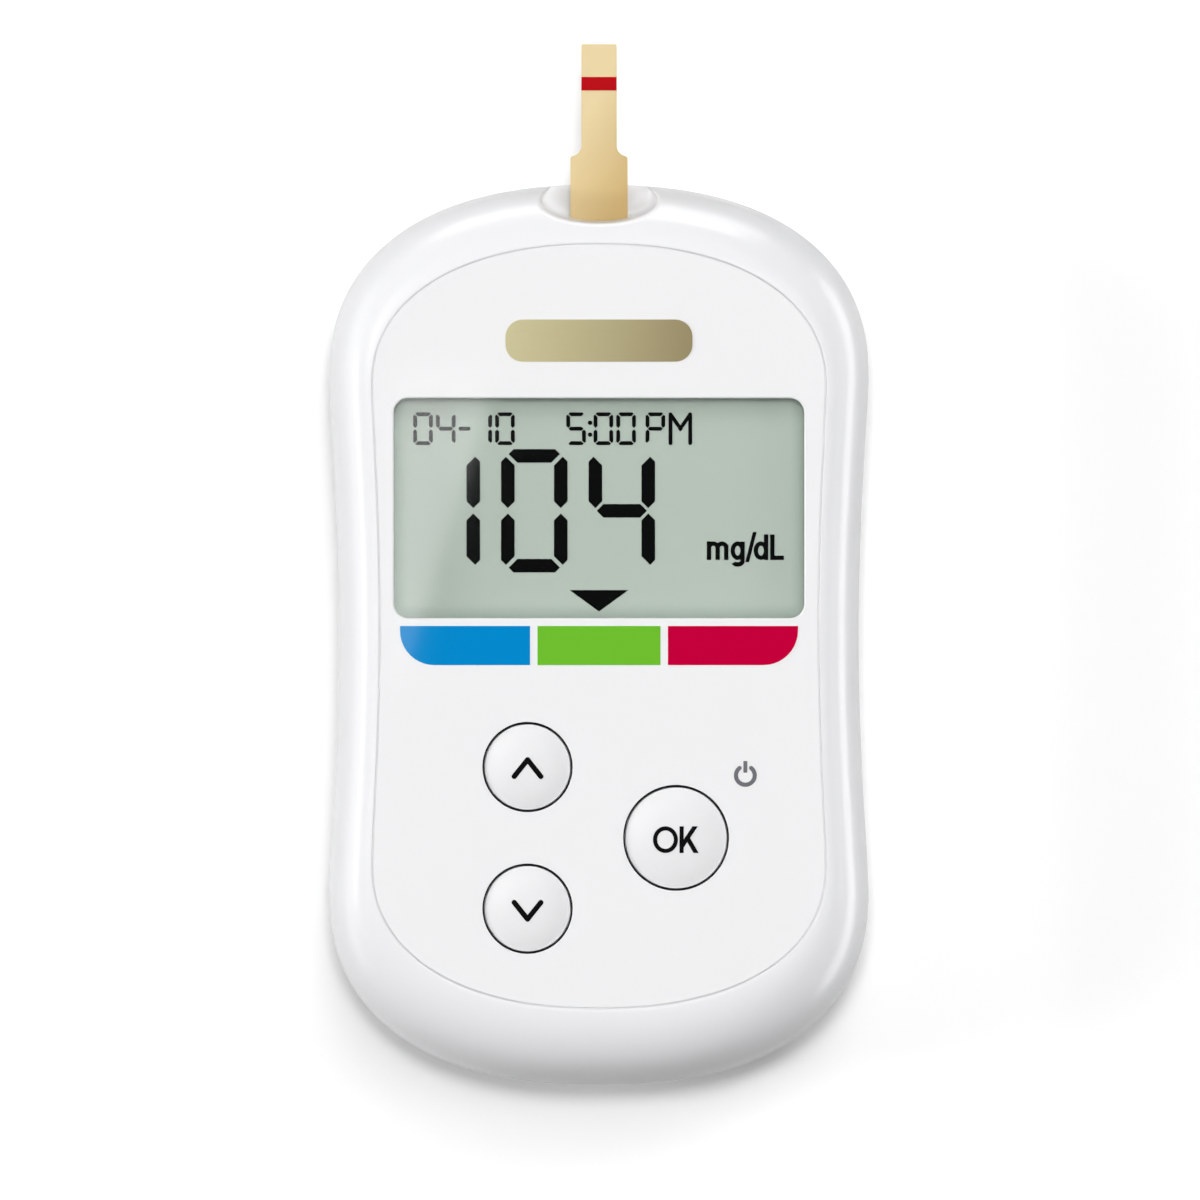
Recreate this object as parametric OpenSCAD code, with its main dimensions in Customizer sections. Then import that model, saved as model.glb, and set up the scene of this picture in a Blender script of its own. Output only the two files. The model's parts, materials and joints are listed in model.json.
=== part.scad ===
// Hand-held blood glucose meter with a test strip in its port, lying on its back.
// +Z points out of the display, +Y towards the strip port, and the origin is the
// centre of the back face. All sizes are in millimetres.

/* [Case] */
// Width of the case across its widest part
body_w = 51.8; // [50.5:0.1:60]
// Length of the case from end to end
body_l = 86.4; // [85:0.2:100]
// Thickness of the case from the back face to the faceplate
body_t = 16; // [15.4:0.1:20]
// How far each long side draws in at the waist
body_waist = 0.96; // [0:0.02:1.4]
// Length of each rounded end of the case
body_end = 18.7; // [17:0.1:22]
// Roundness of the rounded ends, where 2 is an ellipse and more is squarer
body_power = 2.35; // [2.2:0.05:2.8]
// Height of the parting line between the two shells
part_z = 8; // [7.8:0.1:8.8]
// Wall thickness of both shells
wall = 1.6; // [1.3:0.05:1.8]
// Thickness of the front shell under the faceplate
deck_t = 1.6; // [1.5:0.05:2]
// How far the back face draws in from the widest outline
back_inset = 5; // [3.5:0.1:5.5]
// Squareness of the rounded shoulders, where 2 is an ellipse
shoulder_power = 2.2; // [2:0.05:2.6]
// Height of the locating lip on the rear shell
lip_h = 0.8; // [0.5:0.05:1.2]
// Thickness of the locating lip
lip_t = 0.75; // [0.5:0.05:0.8]

/* [Faceplate] */
// Distance from each side of the case to the faceplate
plate_side = 4.2; // [2.9:0.05:4.6]
// Gap from the top end of the case to the faceplate
plate_top_gap = 5.8; // [5:0.1:7]
// Gap from the bottom end of the case to the faceplate
plate_bottom_gap = 7.4; // [6:0.1:9]
// How far each long side of the faceplate draws in at the waist
plate_waist = 0.72; // [0:0.02:0.9]
// Length of each rounded end of the faceplate
plate_end = 13.7; // [12:0.1:16]
// Roundness of the faceplate's ends, where 2 is an ellipse
plate_power = 2.25; // [2.1:0.05:2.6]
// Thickness of the faceplate
plate_t = 0.8; // [0.6:0.05:1.2]
// Parting gap round the faceplate
plate_gap = 0.12; // [0.05:0.01:0.2]

/* [Display] */
// Distance from each side of the case to the display opening
view_side = 6.2; // [6:0.05:8.9]
// Height of the display opening
view_h = 21.1; // [20.6:0.1:22]
// Corner radius of the display opening
view_r = 1.4; // [0.6:0.1:3]
// Distance from the top end of the case to the middle of the display opening
view_drop = 31.05; // [30.6:0.05:31.4]
// Thickness of the clear window
window_t = 1; // [0.6:0.05:1.05]
// Width of the rim that the window rests on
window_rim = 0.7; // [0.4:0.05:0.9]
// Thickness of each glass of the display cell
glass_t = 0.6; // [0.4:0.05:0.8]
// Height of the large digits
digit_h = 11.84; // [9:0.05:12]
// Width of the large digits
digit_w = 6.38; // [5.4:0.05:7]
// Stroke width of the large digits
digit_s = 1.3; // [0.8:0.05:1.6]
// Distance from one large digit to the next
digit_pitch = 8.4; // [8.2:0.05:8.8]
// Height of the small characters in the top row
small_h = 3.14; // [2.4:0.02:3.2]
// Width of the small characters in the top row
small_w = 1.88; // [1.6:0.02:1.92]
// Stroke width of the small characters
small_s = 0.37; // [0.24:0.01:0.44]
// Stroke width of the unit's letters
unit_s = 0.42; // [0.3:0.01:0.46]

/* [Keys] */
// Radius of the up and down keys
arrow_key_r = 4.1; // [3.4:0.05:4.3]
// Radius of the OK key
ok_key_r = 4.85; // [4:0.05:5.2]
// Gap round each key in the faceplate
key_gap = 0.2; // [0.12:0.01:0.3]
// Distance from the middle of the case to the arrow keys
arrow_key_x = 6.86; // [6.4:0.05:7.6]
// How far the keys stand below the middle of the field between the bars and the plate's end
key_drop = 0.145; // [0:0.005:0.6]
// Distance between the centres of the arrow keys
arrow_pitch = 13.6; // [12.4:0.1:14.4]
// Distance from the middle of the case to the OK key
ok_key_x = 7.4; // [7:0.05:8.4]
// How far a key travels when it is pressed
key_travel = 0.4; // [0.2:0.05:0.5]
// How high the middle of a key stands over its edge
key_crown = 0.28; // [0.1:0.02:0.5]
// Stroke width of the marks on the arrow keys
arrow_mark_s = 0.5; // [0.3:0.02:0.7]
// Stroke width of the letters on the OK key
ok_mark_s = 0.4; // [0.3:0.02:0.5]

/* [Prints] */
// Height of the three colour bars
bar_h = 3.75; // [2:0.05:4]
// Distance from the sides of the display opening to the row of colour bars
bar_inset = 0.6; // [0.2:0.05:2]
// Gap between the display opening and the row of colour bars
bar_drop = 0.76; // [0.3:0.02:1.2]
// Width of the middle colour bar
bar_mid_w = 11.8; // [9:0.1:14]
// Gap between two colour bars
bar_gap = 0.72; // [0.4:0.02:1.2]
// Corner radius at the two outer lower corners of the row of bars
bar_r = 3.3; // [1:0.1:3.6]
// Distance from the top end of the case to the middle of the blank metallic plate
badge_drop = 14.96; // [14:0.02:15.6]
// Width of the blank metallic plate above the display
badge_w = 17.95; // [12:0.05:20]
// Height of the blank metallic plate
badge_h = 4.04; // [3.4:0.02:4.2]
// Corner radius of the blank metallic plate
badge_r = 1.65; // [0.6:0.05:1.65]
// Thickness of a printed mark
ink_t = 0.04; // [0.02:0.01:0.08]

/* [Test strip] */
// Width of the test strip where it enters the meter
strip_w = 5.5; // [4.6:0.1:5.6]
// Width of the test strip at its sampling end
strip_tip_w = 3.4; // [2.4:0.1:4]
// Thickness of the test strip
strip_t = 0.35; // [0.25:0.01:0.4]
// How far the test strip stands out of the case
strip_out = 13.5; // [8:0.1:16]
// How far the wide part of the test strip stands out of the case
strip_wide_out = 2.75; // [1.5:0.05:5]
// How far the test strip reaches into the case
strip_in = 16.2; // [14:0.1:16.4]
// Height of the test strip's underside over the circuit board
strip_rise = 1.15; // [1:0.05:1.4]
// Distance from the sampling end to the coloured band
band_inset = 3.15; // [2:0.05:5]
// Width of the coloured band
band_w = 1.3; // [0.6:0.05:2]
// Half width of the scoop round the strip
scoop_x = 5.6; // [4.4:0.1:6.4]
// How far the scoop reaches into the end of the case
scoop_in = 3.66; // [3:0.02:4]
// Half height of the ellipse that the scoop is cut to
scoop_y = 2.2; // [1.9:0.05:2.6]

/* [Battery] */
// Radius of the coin cell
cell_r = 10; // [8:0.1:10.4]
// Thickness of the coin cell
cell_t = 3.2; // [2:0.1:3.3]
// Distance from the bottom end of the case to the middle of the coin cell
cell_rise = 21.7; // [21.2:0.1:22.4]
// Width of the battery door
door_w = 26; // [24:0.1:26.4]
// Thickness of the battery door
door_t = 1.5; // [1.2:0.05:1.6]
// Distance from the bottom end of the case to the inner edge of the battery door
door_l = 35.2; // [34.2:0.1:36]
// How far the door's side tongues stand out
tongue_w = 0.8; // [0.5:0.05:0.9]

/* [Circuit board] */
// Thickness of the circuit board
board_t = 1; // [0.8:0.05:1.2]
// Gap between the circuit board and the inside of the walls
board_gap = 0.6; // [0.3:0.05:1.2]
// Radius of the screw bosses of the rear shell
boss_r = 3; // [2.6:0.1:3.2]
// Radius of the screw bosses of the front shell
front_boss_r = 2.6; // [2:0.1:3]
// Radius of the screw shanks
screw_r = 0.8; // [0.6:0.05:0.9]
// Radius of the screw heads
head_r = 1.6; // [1.2:0.05:1.7]
// Length of the screws under the head
screw_l = 9.8; // [8:0.1:10.4]
// Distance from the side of the case to the two upper screws
top_screw_in = 10.9; // [10.4:0.1:11.6]
// Distance from the side of the case to the two lower screws
low_screw_in = 8.7; // [8.6:0.1:9]
// Distance from an end of the case to its two screws
screw_end = 13.2; // [12.8:0.1:13.6]

/* [Hidden] */
$fn = 48;

// Resolution of the case: points along a side and round half an end, and rings up a shoulder
side_n = 12;
end_n = 14;
ring_n = 8;
// Reach of a cut past the face that it opens
past = 1;
// Gap between a moving piece and its guide
slide_gap = 0.15;
// Gap between fixed pieces that fit together
fit = 0.05;

// Ends of the case and of the faceplate
body_top = body_l / 2;
body_bottom = -body_l / 2;
plate_top = body_top - plate_top_gap;
plate_bottom = body_bottom + plate_bottom_gap;
plate_w = body_w - 2 * plate_side;

// Heights of the front
plate_z = body_t - plate_t;
ceiling_z = plate_z - deck_t;
lip_z = part_z + lip_h;
groove_z = lip_z + slide_gap;

// Heights of the display cell, hung under the front shell
film_t = 0.1;
lcd_z = ceiling_z - 0.2;
front_glass_z = lcd_z - film_t - glass_t;
rear_glass_z = front_glass_z - glass_t;
reflector_z = rear_glass_z - film_t;
window_z = plate_z - fit - window_t;

// The circuit board
board_z = part_z - 0.2;
board_top = board_z + board_t;

// The display cell and its frame
view_y = body_top - view_drop;
view_w = body_w - 2 * view_side;
lcd_w = view_w + 2.2;
lcd_h = view_h + 3.9;
lcd_y = view_y - 0.15;
ledge_h = 1.8;
frame_t = 1;

// The row of colour bars under the display opening
bar_top_y = view_y - view_h / 2 - bar_drop;
bar_row_w = view_w - 2 * bar_inset;

// Keys: the flange under the front shell, the dome switch and the seal
key_y = (bar_top_y - bar_h + plate_bottom) / 2 - key_drop;
flange_w = 0.9;
flange_t = 0.8;
flange_z = ceiling_z - 0.2;
key_edge_z = body_t + 0.04;
seal_w = 1;
seal_t = 0.6;
dome_r = 2.5;
dome_h = key_travel + 0.1;
dome_t = 0.12;
stem_r = 1.3;
shell_key_gap = 0.3;

// The strip port
strip_z = board_top + strip_rise;
scoop_z = strip_z - 0.55;
scoop_mid = body_top - scoop_in + scoop_y;
scoop_wall = 1.6;
connector_side = 2.45;
connector_over = 1.75;
connector_back = 0.6;
connector_gap = 0.7;
channel_gap = 0.08;
stop_t = 0.5;
contact_start = 0.8;
contact_side = 0.35;
contact_end = 1.6;
connector_w = strip_w + 2 * connector_side;
connector_top = strip_z + connector_over;
connector_y = body_top - strip_in - connector_back;
connector_end = body_top - scoop_in - scoop_wall - connector_gap;

// The battery bay
cell_y = body_bottom + cell_rise;
door_y = body_bottom + door_l;
bay_z = door_t + slide_gap;
bay_t = 1.2;
bay_top = bay_z + bay_t;
cell_z = bay_z + 0.3;
floor_t = 1.6;
holder_gap = 0.25;
holder_t = 1.35;
rib_w = 6;
rib_h = 0.35;
tab_w = 6;
tab_inset = 0.6;

// Sprung leaf on the middle of the cell: its foot, its bend, where it touches and its lifted tip
leaf_w = 4;
leaf_t = 0.2;
leaf_foot = 6;
leaf_bend = 3.4;
leaf_touch = 1;
leaf_tip = 4;
leaf_lift = 0.5;

// The screws stand at these four places
head_z = 3;
screw_spots = [
  for (side = [-1, 1]) [side * (body_w / 2 - top_screw_in), body_top - screw_end],
  for (side = [-1, 1]) [side * (body_w / 2 - low_screw_in), body_bottom + screw_end]
];

// The data socket at the bottom end
usb_w = 7.5;
usb_h = 2.75;
usb_l = 5.6;
usb_z = board_z - usb_h;
usb_y = body_bottom + wall + 0.5;

// Power mark beside the OK key
power_right = 6.65;
power_up = 6;
power_x = ok_key_x + power_right;
power_y = key_y + power_up;
power_r = 1.1;
power_s = 0.33;
power_bar_l = 1.06;
power_bar_low = 0.32;

badge_y = body_top - badge_drop;

// The blank label in its recess in the back
label_w = 30;
label_h = 20;
label_r = 1.5;
label_gap = 0.2;
label_drop = 27.7;
label_y = body_top - label_drop;
label_cut = 0.15;
label_inset = 0.04;

// Places on the display, from the left edge of the opening or from its middle
digit_x = 1.9;
digit_low = 6.17;
small_up = 6.06;
day_x = 1.87;
dash_x = 6.4;
dash_w = 0.78;
month_x = 7.55;
hour_x = 16.56;
colon_x = 18.84;
colon_half = 0.57;
colon_r = 0.21;
minute_x = 19.18;
half_day_x = 24.17;
half_day_m_x = 26.38;
small_pitch = 2.18;
letter_m_w = 2.26;
arrow_low = 7.86;
arrow_half = 2.82;
arrow_h = 2.06;

// Place of the unit, from the right edge of the opening and below its middle
unit_in = 9.35;
unit_low = 4.97;

// Chips on the circuit board, placed from the middle of the display
chip_w = 9;
chip_t = 1.1;
chip_x = -7;
chip_up = 1.5;
radio_w = 8;
radio_l = 11;
radio_t = 0.5;
radio_x = 9;
radio_up = 2.5;
can_w = 7;
can_l = 8;
can_t = 1.1;
can_up = 1.2;
crystal_w = 1.5;
crystal_l = 3.2;
crystal_t = 0.8;
crystal_x = 1.2;
crystal_up = 4;

// Small parts on the circuit board: a row, a column and two groups beside the connector
small_part_l = 1.1;
small_part_w = 0.6;
small_part_t = 0.5;
row_n = 6;
row_x = -12;
row_low = 5.6;
row_pitch = 1.9;
column_n = 4;
column_x = -14.4;
column_low = 2.4;
column_pitch = 2.2;
group_n = 3;
group_gap = 2;
group_up = 1.6;
group_pitch = 2;

// Finger grooves across the battery door
grip_n = 5;
grip_half = 5;
grip_start = 7.6;
grip_pitch = 1.6;
grip_w = 0.8;
grip_cut = 0.35;

function mix(a, b, t) = a + (b - a) * t;

// A smooth outline: waisted sides and squared round ends, as points that run anticlockwise
function outline(w, top, bottom, end, waist, power) =
  let (
    y_top = top - end,
    y_low = bottom + end,
    mid = (y_top + y_low) / 2,
    half = (y_top - y_low) / 2,
    step = 2 * half / side_n,
    right = [
      for (i = [0:side_n - 1])
        let (y = y_low + i * step) [w / 2 - waist * pow(1 - pow((y - mid) / half, 2), 1.3), y]
    ],
    cap = [
      for (i = [0:2 * end_n - 1])
        let (a = 90 * i / end_n)
          [sign(cos(a)) * w / 2 * pow(abs(cos(a)), 2 / power), end * pow(sin(a), 2 / power)]
    ]
  )
  concat(
    right,
    [for (p = cap) [p.x, y_top + p.y]],
    [for (p = right) [-p.x, 2 * mid - p.y]],
    [for (p = cap) [-p.x, y_low - p.y]]
  );

// The outline at part of the way, t, from the case's widest outline to the faceplate's
function section(t, inset = 0) =
  outline(
    mix(body_w, plate_w, t) - 2 * inset,
    mix(body_top, plate_top, t) - inset,
    mix(body_bottom, plate_bottom, t) + inset,
    mix(body_end, plate_end, t) - inset,
    mix(body_waist, plate_waist, t),
    mix(body_power, plate_power, t)
  );

function at_height(points, z) = [for (p = points) [p.x, p.y, z]];

// A rounded shoulder: how far along it draws in at a share u of its height
function shoulder(u) =
  1 - pow(1 - pow(u, shoulder_power), 1 / shoulder_power);
function shoulder_height(i) = pow(sin(90 * i / ring_n), 2 / shoulder_power);

function front_ring(z, inset) =
  at_height(section(shoulder((z - part_z) / (body_t - part_z)), inset), z);
function back_ring(z, inset) =
  at_height(section(0, back_inset * shoulder((part_z - z) / part_z) + inset), z);

// Rings up the outside of the front shell and of the rear shell
function front_rings(inset) = [
  for (i = [0:ring_n - 1])
    front_ring(part_z + (body_t - part_z) * shoulder_height(i), inset)
];
function back_rings(inset) = [
  for (i = [ring_n:-1:0])
    back_ring(part_z * (1 - shoulder_height(i)), inset)
];

function arc(x, y, r, from, to, n) = [
  for (i = [0:n]) let (a = mix(from, to, i / n)) [x + r * cos(a), y + r * sin(a)]
];

function ellipse(x, y, rx, ry, n = 40) = [
  for (i = [0:n - 1]) let (a = 360 * i / n) [x + rx * cos(a), y + ry * sin(a)]
];

// One closed solid through rings that all have as many points
module loft(rings) {
  n = len(rings[0]);
  last = (len(rings) - 1) * n;
  sides = [
    for (k = [0:len(rings) - 2], i = [0:n - 1])
      let (j = (i + 1) % n, a = k * n + i, b = k * n + j)
        each [[a, a + n, b + n], [a, b + n, b]]
  ];
  ends = [[for (i = [0:n - 1]) i], [for (i = [n - 1:-1:0]) last + i]];
  polyhedron([for (ring = rings) each ring], concat(sides, ends), convexity = 8);
}

// A box between two corners
module block(low, high) {
  translate(low) cube(high - low);
}

// A flat rounded rectangle about the middle
module rounded(w, h, r) {
  square([w - 2 * r, h], center = true);
  square([w, h - 2 * r], center = true);
  for (x = [-1, 1], y = [-1, 1])
    translate([x * (w / 2 - r), y * (h / 2 - r)]) circle(r);
}

// A straight stroke with round ends between two points
module stroke(a, b, s) {
  d = b - a;
  translate(a) rotate(atan2(d.y, d.x)) translate([0, -s / 2]) square([norm(d), s]);
  translate(a) circle(s / 2);
  translate(b) circle(s / 2);
}

module at_screws() {
  for (p = screw_spots) translate(p) children();
}

// Places of the keys
up_spot = [-arrow_key_x, key_y + arrow_pitch / 2];
down_spot = [-arrow_key_x, key_y - arrow_pitch / 2];
ok_spot = [ok_key_x, key_y];

// ---- Case ----

// Holes for the keys through a plate: each key's radius plus extra
module key_holes(extra, z, h) {
  for (k = [[up_spot, arrow_key_r], [down_spot, arrow_key_r], [ok_spot, ok_key_r]])
    translate([k[0].x, k[0].y, z]) cylinder(r = k[1] + extra, h = h);
}

module front_shell() {
  inside = [
    for (z = [ceiling_z, mix(ceiling_z, groove_z, 0.2), mix(ceiling_z, groove_z, 0.5), groove_z])
      front_ring(z, wall)
  ];
  rim = [
    front_ring(groove_z, wall - lip_t - 0.1),
    front_ring(part_z, wall - lip_t - 0.1)
  ];
  pocket = [for (z = [body_t, plate_z]) at_height(section(1, -plate_gap), z)];
  scoop_block_w = scoop_x + scoop_wall;
  color("white") difference() {
    union() {
      loft(concat(inside, rim, front_rings(0), pocket));
      at_screws() translate([0, 0, board_top]) cylinder(r = front_boss_r, h = ceiling_z + 0.3 - board_top);
      intersection() {
        loft(front_rings(0.4));
        block([-scoop_block_w, body_top - scoop_in - scoop_wall, groove_z],
              [scoop_block_w, body_top, ceiling_z + 0.3]);
      }
    }
    at_screws() translate([0, 0, board_top - past])
      cylinder(r = screw_r + fit, h = past + ceiling_z - board_top);
    translate([0, view_y, ceiling_z - past])
      linear_extrude(deck_t + 2 * past) rounded(view_w + 0.2, view_h + 0.2, view_r);
    translate([0, view_y, window_z])
      linear_extrude(deck_t + past) rounded(
        view_w + 2 * (window_rim + fit), view_h + 2 * (window_rim + fit), view_r + window_rim + fit);
    key_holes(shell_key_gap, ceiling_z - past, deck_t + 2 * past);
    key_holes(seal_w, plate_z - seal_t, seal_t + past);
    translate([0, 0, scoop_z])
      linear_extrude(body_t) polygon(ellipse(0, scoop_mid, scoop_x, scoop_y));
    block([-strip_w / 2 - 0.25, connector_end - past, strip_z - slide_gap],
          [strip_w / 2 + 0.25, scoop_mid, strip_z + strip_t + slide_gap]);
  }
}

module door_recess() {
  half = door_w / 2 + slide_gap;
  block([-half, body_bottom - past, -past], [half, door_y + slide_gap, bay_z]);
  block([-half - tongue_w, body_bottom - past, door_t / 2 - slide_gap],
        [half + tongue_w, door_y + slide_gap, bay_z]);
  block([-rib_w / 2 - slide_gap, body_bottom - past, bay_z - fit],
        [rib_w / 2 + slide_gap, body_bottom + 7.3, door_t + rib_h + slide_gap]);
}

module rear_shell() {
  rim = [
    back_ring(part_z, wall - lip_t),
    at_height(section(0, wall - lip_t), lip_z),
    at_height(section(0, wall), lip_z)
  ];
  inside = [
    for (z = [mix(part_z, floor_t, 0.4), mix(part_z, floor_t, 0.7), mix(part_z, floor_t, 0.9), floor_t])
      back_ring(z, wall)
  ];
  bay_half = door_w / 2 + tongue_w + 1.4;
  color("white") difference() {
    union() {
      loft(concat(back_rings(0), rim, inside));
      at_screws() translate([0, 0, floor_t / 2]) cylinder(r = boss_r, h = board_z - floor_t / 2);
      intersection() {
        translate([0, 0, floor_t / 2]) linear_extrude(bay_top - floor_t / 2)
          polygon(section(0, back_inset * shoulder((part_z - floor_t) / part_z) + 0.9));
        block([-bay_half, body_bottom, 0], [bay_half, door_y + 1.6, bay_top]);
      }
    }
    door_recess();
    translate([0, cell_y, 0]) cylinder(r = cell_r + holder_gap, h = bay_top + past, $fn = 96);
    at_screws() translate([0, 0, -past]) cylinder(r = head_r + 0.3, h = head_z + past);
    at_screws() translate([0, 0, -past]) cylinder(r = screw_r + 2 * fit, h = board_z + 2 * past);
    block([-usb_w / 2 - 0.15, body_bottom - past, usb_z + 0.05],
          [usb_w / 2 + 0.15, usb_y, board_z - 0.3]);
    translate([0, label_y, -past])
      linear_extrude(past + label_cut)
        rounded(label_w + 2 * label_gap, label_h + 2 * label_gap, label_r + label_gap);
  }
}

module faceplate() {
  color("whitesmoke") difference() {
    translate([0, 0, plate_z]) linear_extrude(plate_t) polygon(section(1));
    translate([0, view_y, plate_z - past]) linear_extrude(plate_t + 2 * past)
      rounded(view_w, view_h, view_r);
    key_holes(key_gap, plate_z - past, plate_t + 2 * past);
  }
}

module case_screws() {
  color("silver") at_screws() difference() {
    union() {
      translate([0, 0, head_z]) cylinder(r = screw_r, h = screw_l - 0.4);
      translate([0, 0, head_z + screw_l - 0.4]) cylinder(r1 = screw_r, r2 = screw_r / 2, h = 0.4);
      translate([0, 0, head_z - 1.2]) cylinder(r = head_r, h = 1.2);
      translate([0, 0, head_z - 1.5]) cylinder(r1 = head_r - 0.4, r2 = head_r, h = 0.3);
    }
    for (turn = [0, 90]) rotate(turn)
      block([-0.2, -head_r * 0.6, head_z - 2], [0.2, head_r * 0.6, head_z - 0.6]);
  }
}

// ---- Display ----

module display_window() {
  color([0.85, 0.9, 0.92, 0.35]) translate([0, view_y, window_z])
    linear_extrude(window_t)
      rounded(view_w + 2 * window_rim, view_h + 2 * window_rim, view_r + window_rim);
}

// A flat layer of the display cell; low_cut shortens it at the contact ledge
module lcd_layer(z, t, low_cut, side_cut) {
  block([-lcd_w / 2 + side_cut, lcd_y - lcd_h / 2 + low_cut + side_cut, z],
        [lcd_w / 2 - side_cut, lcd_y + lcd_h / 2 - side_cut, z + t]);
}

module lcd_front_polarizer() {
  color([0.71, 0.76, 0.72]) lcd_layer(lcd_z - film_t, film_t, ledge_h / 2, 0.3);
}

module lcd_front_glass() {
  color([0.8, 0.86, 0.84, 0.5]) lcd_layer(front_glass_z, glass_t, 0, 0);
}

module lcd_rear_glass() {
  color([0.78, 0.84, 0.82, 0.5]) lcd_layer(rear_glass_z, glass_t, ledge_h, 0);
}

module lcd_reflector() {
  color("silver") lcd_layer(reflector_z, film_t, ledge_h, 0.3);
}

// The seven segments of a numeral, A to G, as flat bars with bevelled ends
module segments(w, h, s, shown) {
  gap = 0.2 * s;
  tip = 0.36 * s;
  half = h / 2;
  // A level bar along the top, whose tips lie near its outer edge
  module level() {
    polygon([
      [tip + gap, -tip], [s + gap, -s], [w - s - gap, -s],
      [w - tip - gap, -tip], [w - 2 * tip - gap, 0], [2 * tip + gap, 0]
    ]);
  }
  // The upper bar of the left side
  module upright() {
    polygon([
      [0, h - 2 * tip - gap], [0, half + s / 2 + gap], [s / 2, half + gap],
      [s, half + s / 2 + gap], [s, h - s - gap], [tip, h - tip - gap]
    ]);
  }
  module flip_x() {
    translate([w, 0]) mirror([1, 0]) children();
  }
  module flip_y() {
    translate([0, h]) mirror([0, 1]) children();
  }
  for (name = shown) {
    if (name == "A") translate([0, h]) level();
    if (name == "D") mirror([0, 1]) level();
    if (name == "F") upright();
    if (name == "B") flip_x() upright();
    if (name == "E") flip_y() upright();
    if (name == "C") flip_x() flip_y() upright();
    if (name == "G") polygon([
      [s / 2 + gap / 2, half], [s + gap / 2, half - s / 2], [w - s - gap / 2, half - s / 2],
      [w - s / 2 - gap / 2, half], [w - s - gap / 2, half + s / 2], [s + gap / 2, half + s / 2]
    ]);
  }
}

// Segments that form each numeral and the letter P
function shape_of(c) =
  c == "0" ? "ABCDEF" : c == "1" ? "BC" : c == "4" ? "BCFG" : c == "5" ? "ACDFG" : "ABEFG";

// Characters set out along a line, one every pitch
module numerals(x, text, w, h, s, pitch) {
  for (i = [0:len(text) - 1])
    translate([x + i * pitch, 0]) segments(w, h, s, shape_of(text[i]));
}

// An even band along an elliptical arc
module bend(x, y, rx, ry, s, from, to) {
  n = 16;
  polygon(concat(
    [for (i = [0:n]) let (a = mix(from, to, i / n)) [x + rx * cos(a), y + ry * sin(a)]],
    [for (i = [n:-1:0]) let (a = mix(from, to, i / n)) [x + (rx - s) * cos(a), y + (ry - s) * sin(a)]]
  ));
}

module oval_ring(x, y, rx, ry, s) {
  difference() {
    polygon(ellipse(x, y, rx, ry));
    polygon(ellipse(x, y, rx - s, ry - s));
  }
}

module letter_m_capital(w, h, s) {
  stroke([s / 2, s / 2], [s / 2, h - s / 2], s);
  stroke([w - s / 2, s / 2], [w - s / 2, h - s / 2], s);
  stroke([s / 2, h - s / 2], [w * 0.43, h * 0.58], s);
  stroke([w - s / 2, h - s / 2], [w * 0.57, h * 0.58], s);
  translate([w / 2, h * 0.5]) rotate(45) square(s, center = true);
}

// The measuring unit in small upright letters
module unit_letters() {
  s = unit_s;
  low = 1.78;
  tall = 2.45;
  arch_r = 0.625;
  for (x = [0, 2 * arch_r - s, 4 * arch_r - 2 * s]) translate([x, 0]) square([s, low - 0.3]);
  square([s, low]);
  for (x = [arch_r, 3 * arch_r - s]) bend(x, low - arch_r, arch_r, arch_r, s, 0, 180);
  translate([2.96, 0]) {
    oval_ring(0, low / 2, 0.68, low / 2, s);
    translate([0.68 - s, -0.1]) square([s, low + 0.08]);
    bend(0, -0.1, 0.68, 0.54, s, -150, 0);
  }
  polygon([[3.7, -0.2], [4.06, -0.2], [4.78, 2.68], [4.42, 2.68]]);
  translate([5.2, 0]) {
    oval_ring(0, low / 2, 0.7, low / 2, s);
    translate([0.7 - s, 0]) square([s, tall]);
  }
  translate([6.08, 0]) {
    square([s, tall]);
    square([1.32, s]);
  }
}

module lcd_segments() {
  left = -view_w / 2;
  row = [[day_x, "04"], [month_x, "10"], [hour_x, "5"], [minute_x, "00"], [half_day_x, "P"]];
  color("black") translate([0, 0, lcd_z]) linear_extrude(ink_t) {
    translate([left, view_y - digit_low])
      numerals(digit_x, "104", digit_w, digit_h, digit_s, digit_pitch);
    translate([left, view_y + small_up]) {
      for (group = row) numerals(group[0], group[1], small_w, small_h, small_s, small_pitch);
      stroke([dash_x, small_h / 2], [dash_x + dash_w, small_h / 2], small_s);
      for (y = [-colon_half, colon_half]) translate([colon_x, small_h / 2 + y]) circle(colon_r);
      translate([half_day_m_x, 0]) letter_m_capital(letter_m_w, small_h, small_s);
    }
    translate([view_w / 2 - unit_in, view_y - unit_low]) unit_letters();
    translate([0, view_y - arrow_low]) polygon([[-arrow_half, 0], [0, -arrow_h], [arrow_half, 0]]);
  }
}

// The frame that holds the display cell on the circuit board
module lcd_holder() {
  low = lcd_y - lcd_h / 2;
  color("gainsboro") difference() {
    block([-lcd_w / 2 - frame_t, low - frame_t, board_top],
          [lcd_w / 2 + frame_t, lcd_y + lcd_h / 2 + frame_t, lcd_z - film_t]);
    block([-lcd_w / 2 - fit, low - fit, reflector_z],
          [lcd_w / 2 + fit, lcd_y + lcd_h / 2 + fit, lcd_z + past]);
    block([-lcd_w / 2 + frame_t, low + ledge_h + frame_t, board_top - past],
          [lcd_w / 2 - frame_t, lcd_y + lcd_h / 2 - frame_t, lcd_z]);
    block([-lcd_w / 2 + frame_t - fit, low + fit, board_top - past],
          [lcd_w / 2 - frame_t + fit, low + ledge_h - fit, lcd_z]);
  }
}

module zebra_strip() {
  low = lcd_y - lcd_h / 2;
  color("dimgray") block([-lcd_w / 2 + frame_t, low + 2 * fit, board_top],
                         [lcd_w / 2 - frame_t, low + ledge_h - 2 * fit, front_glass_z]);
}

// ---- Keys ----

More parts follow.
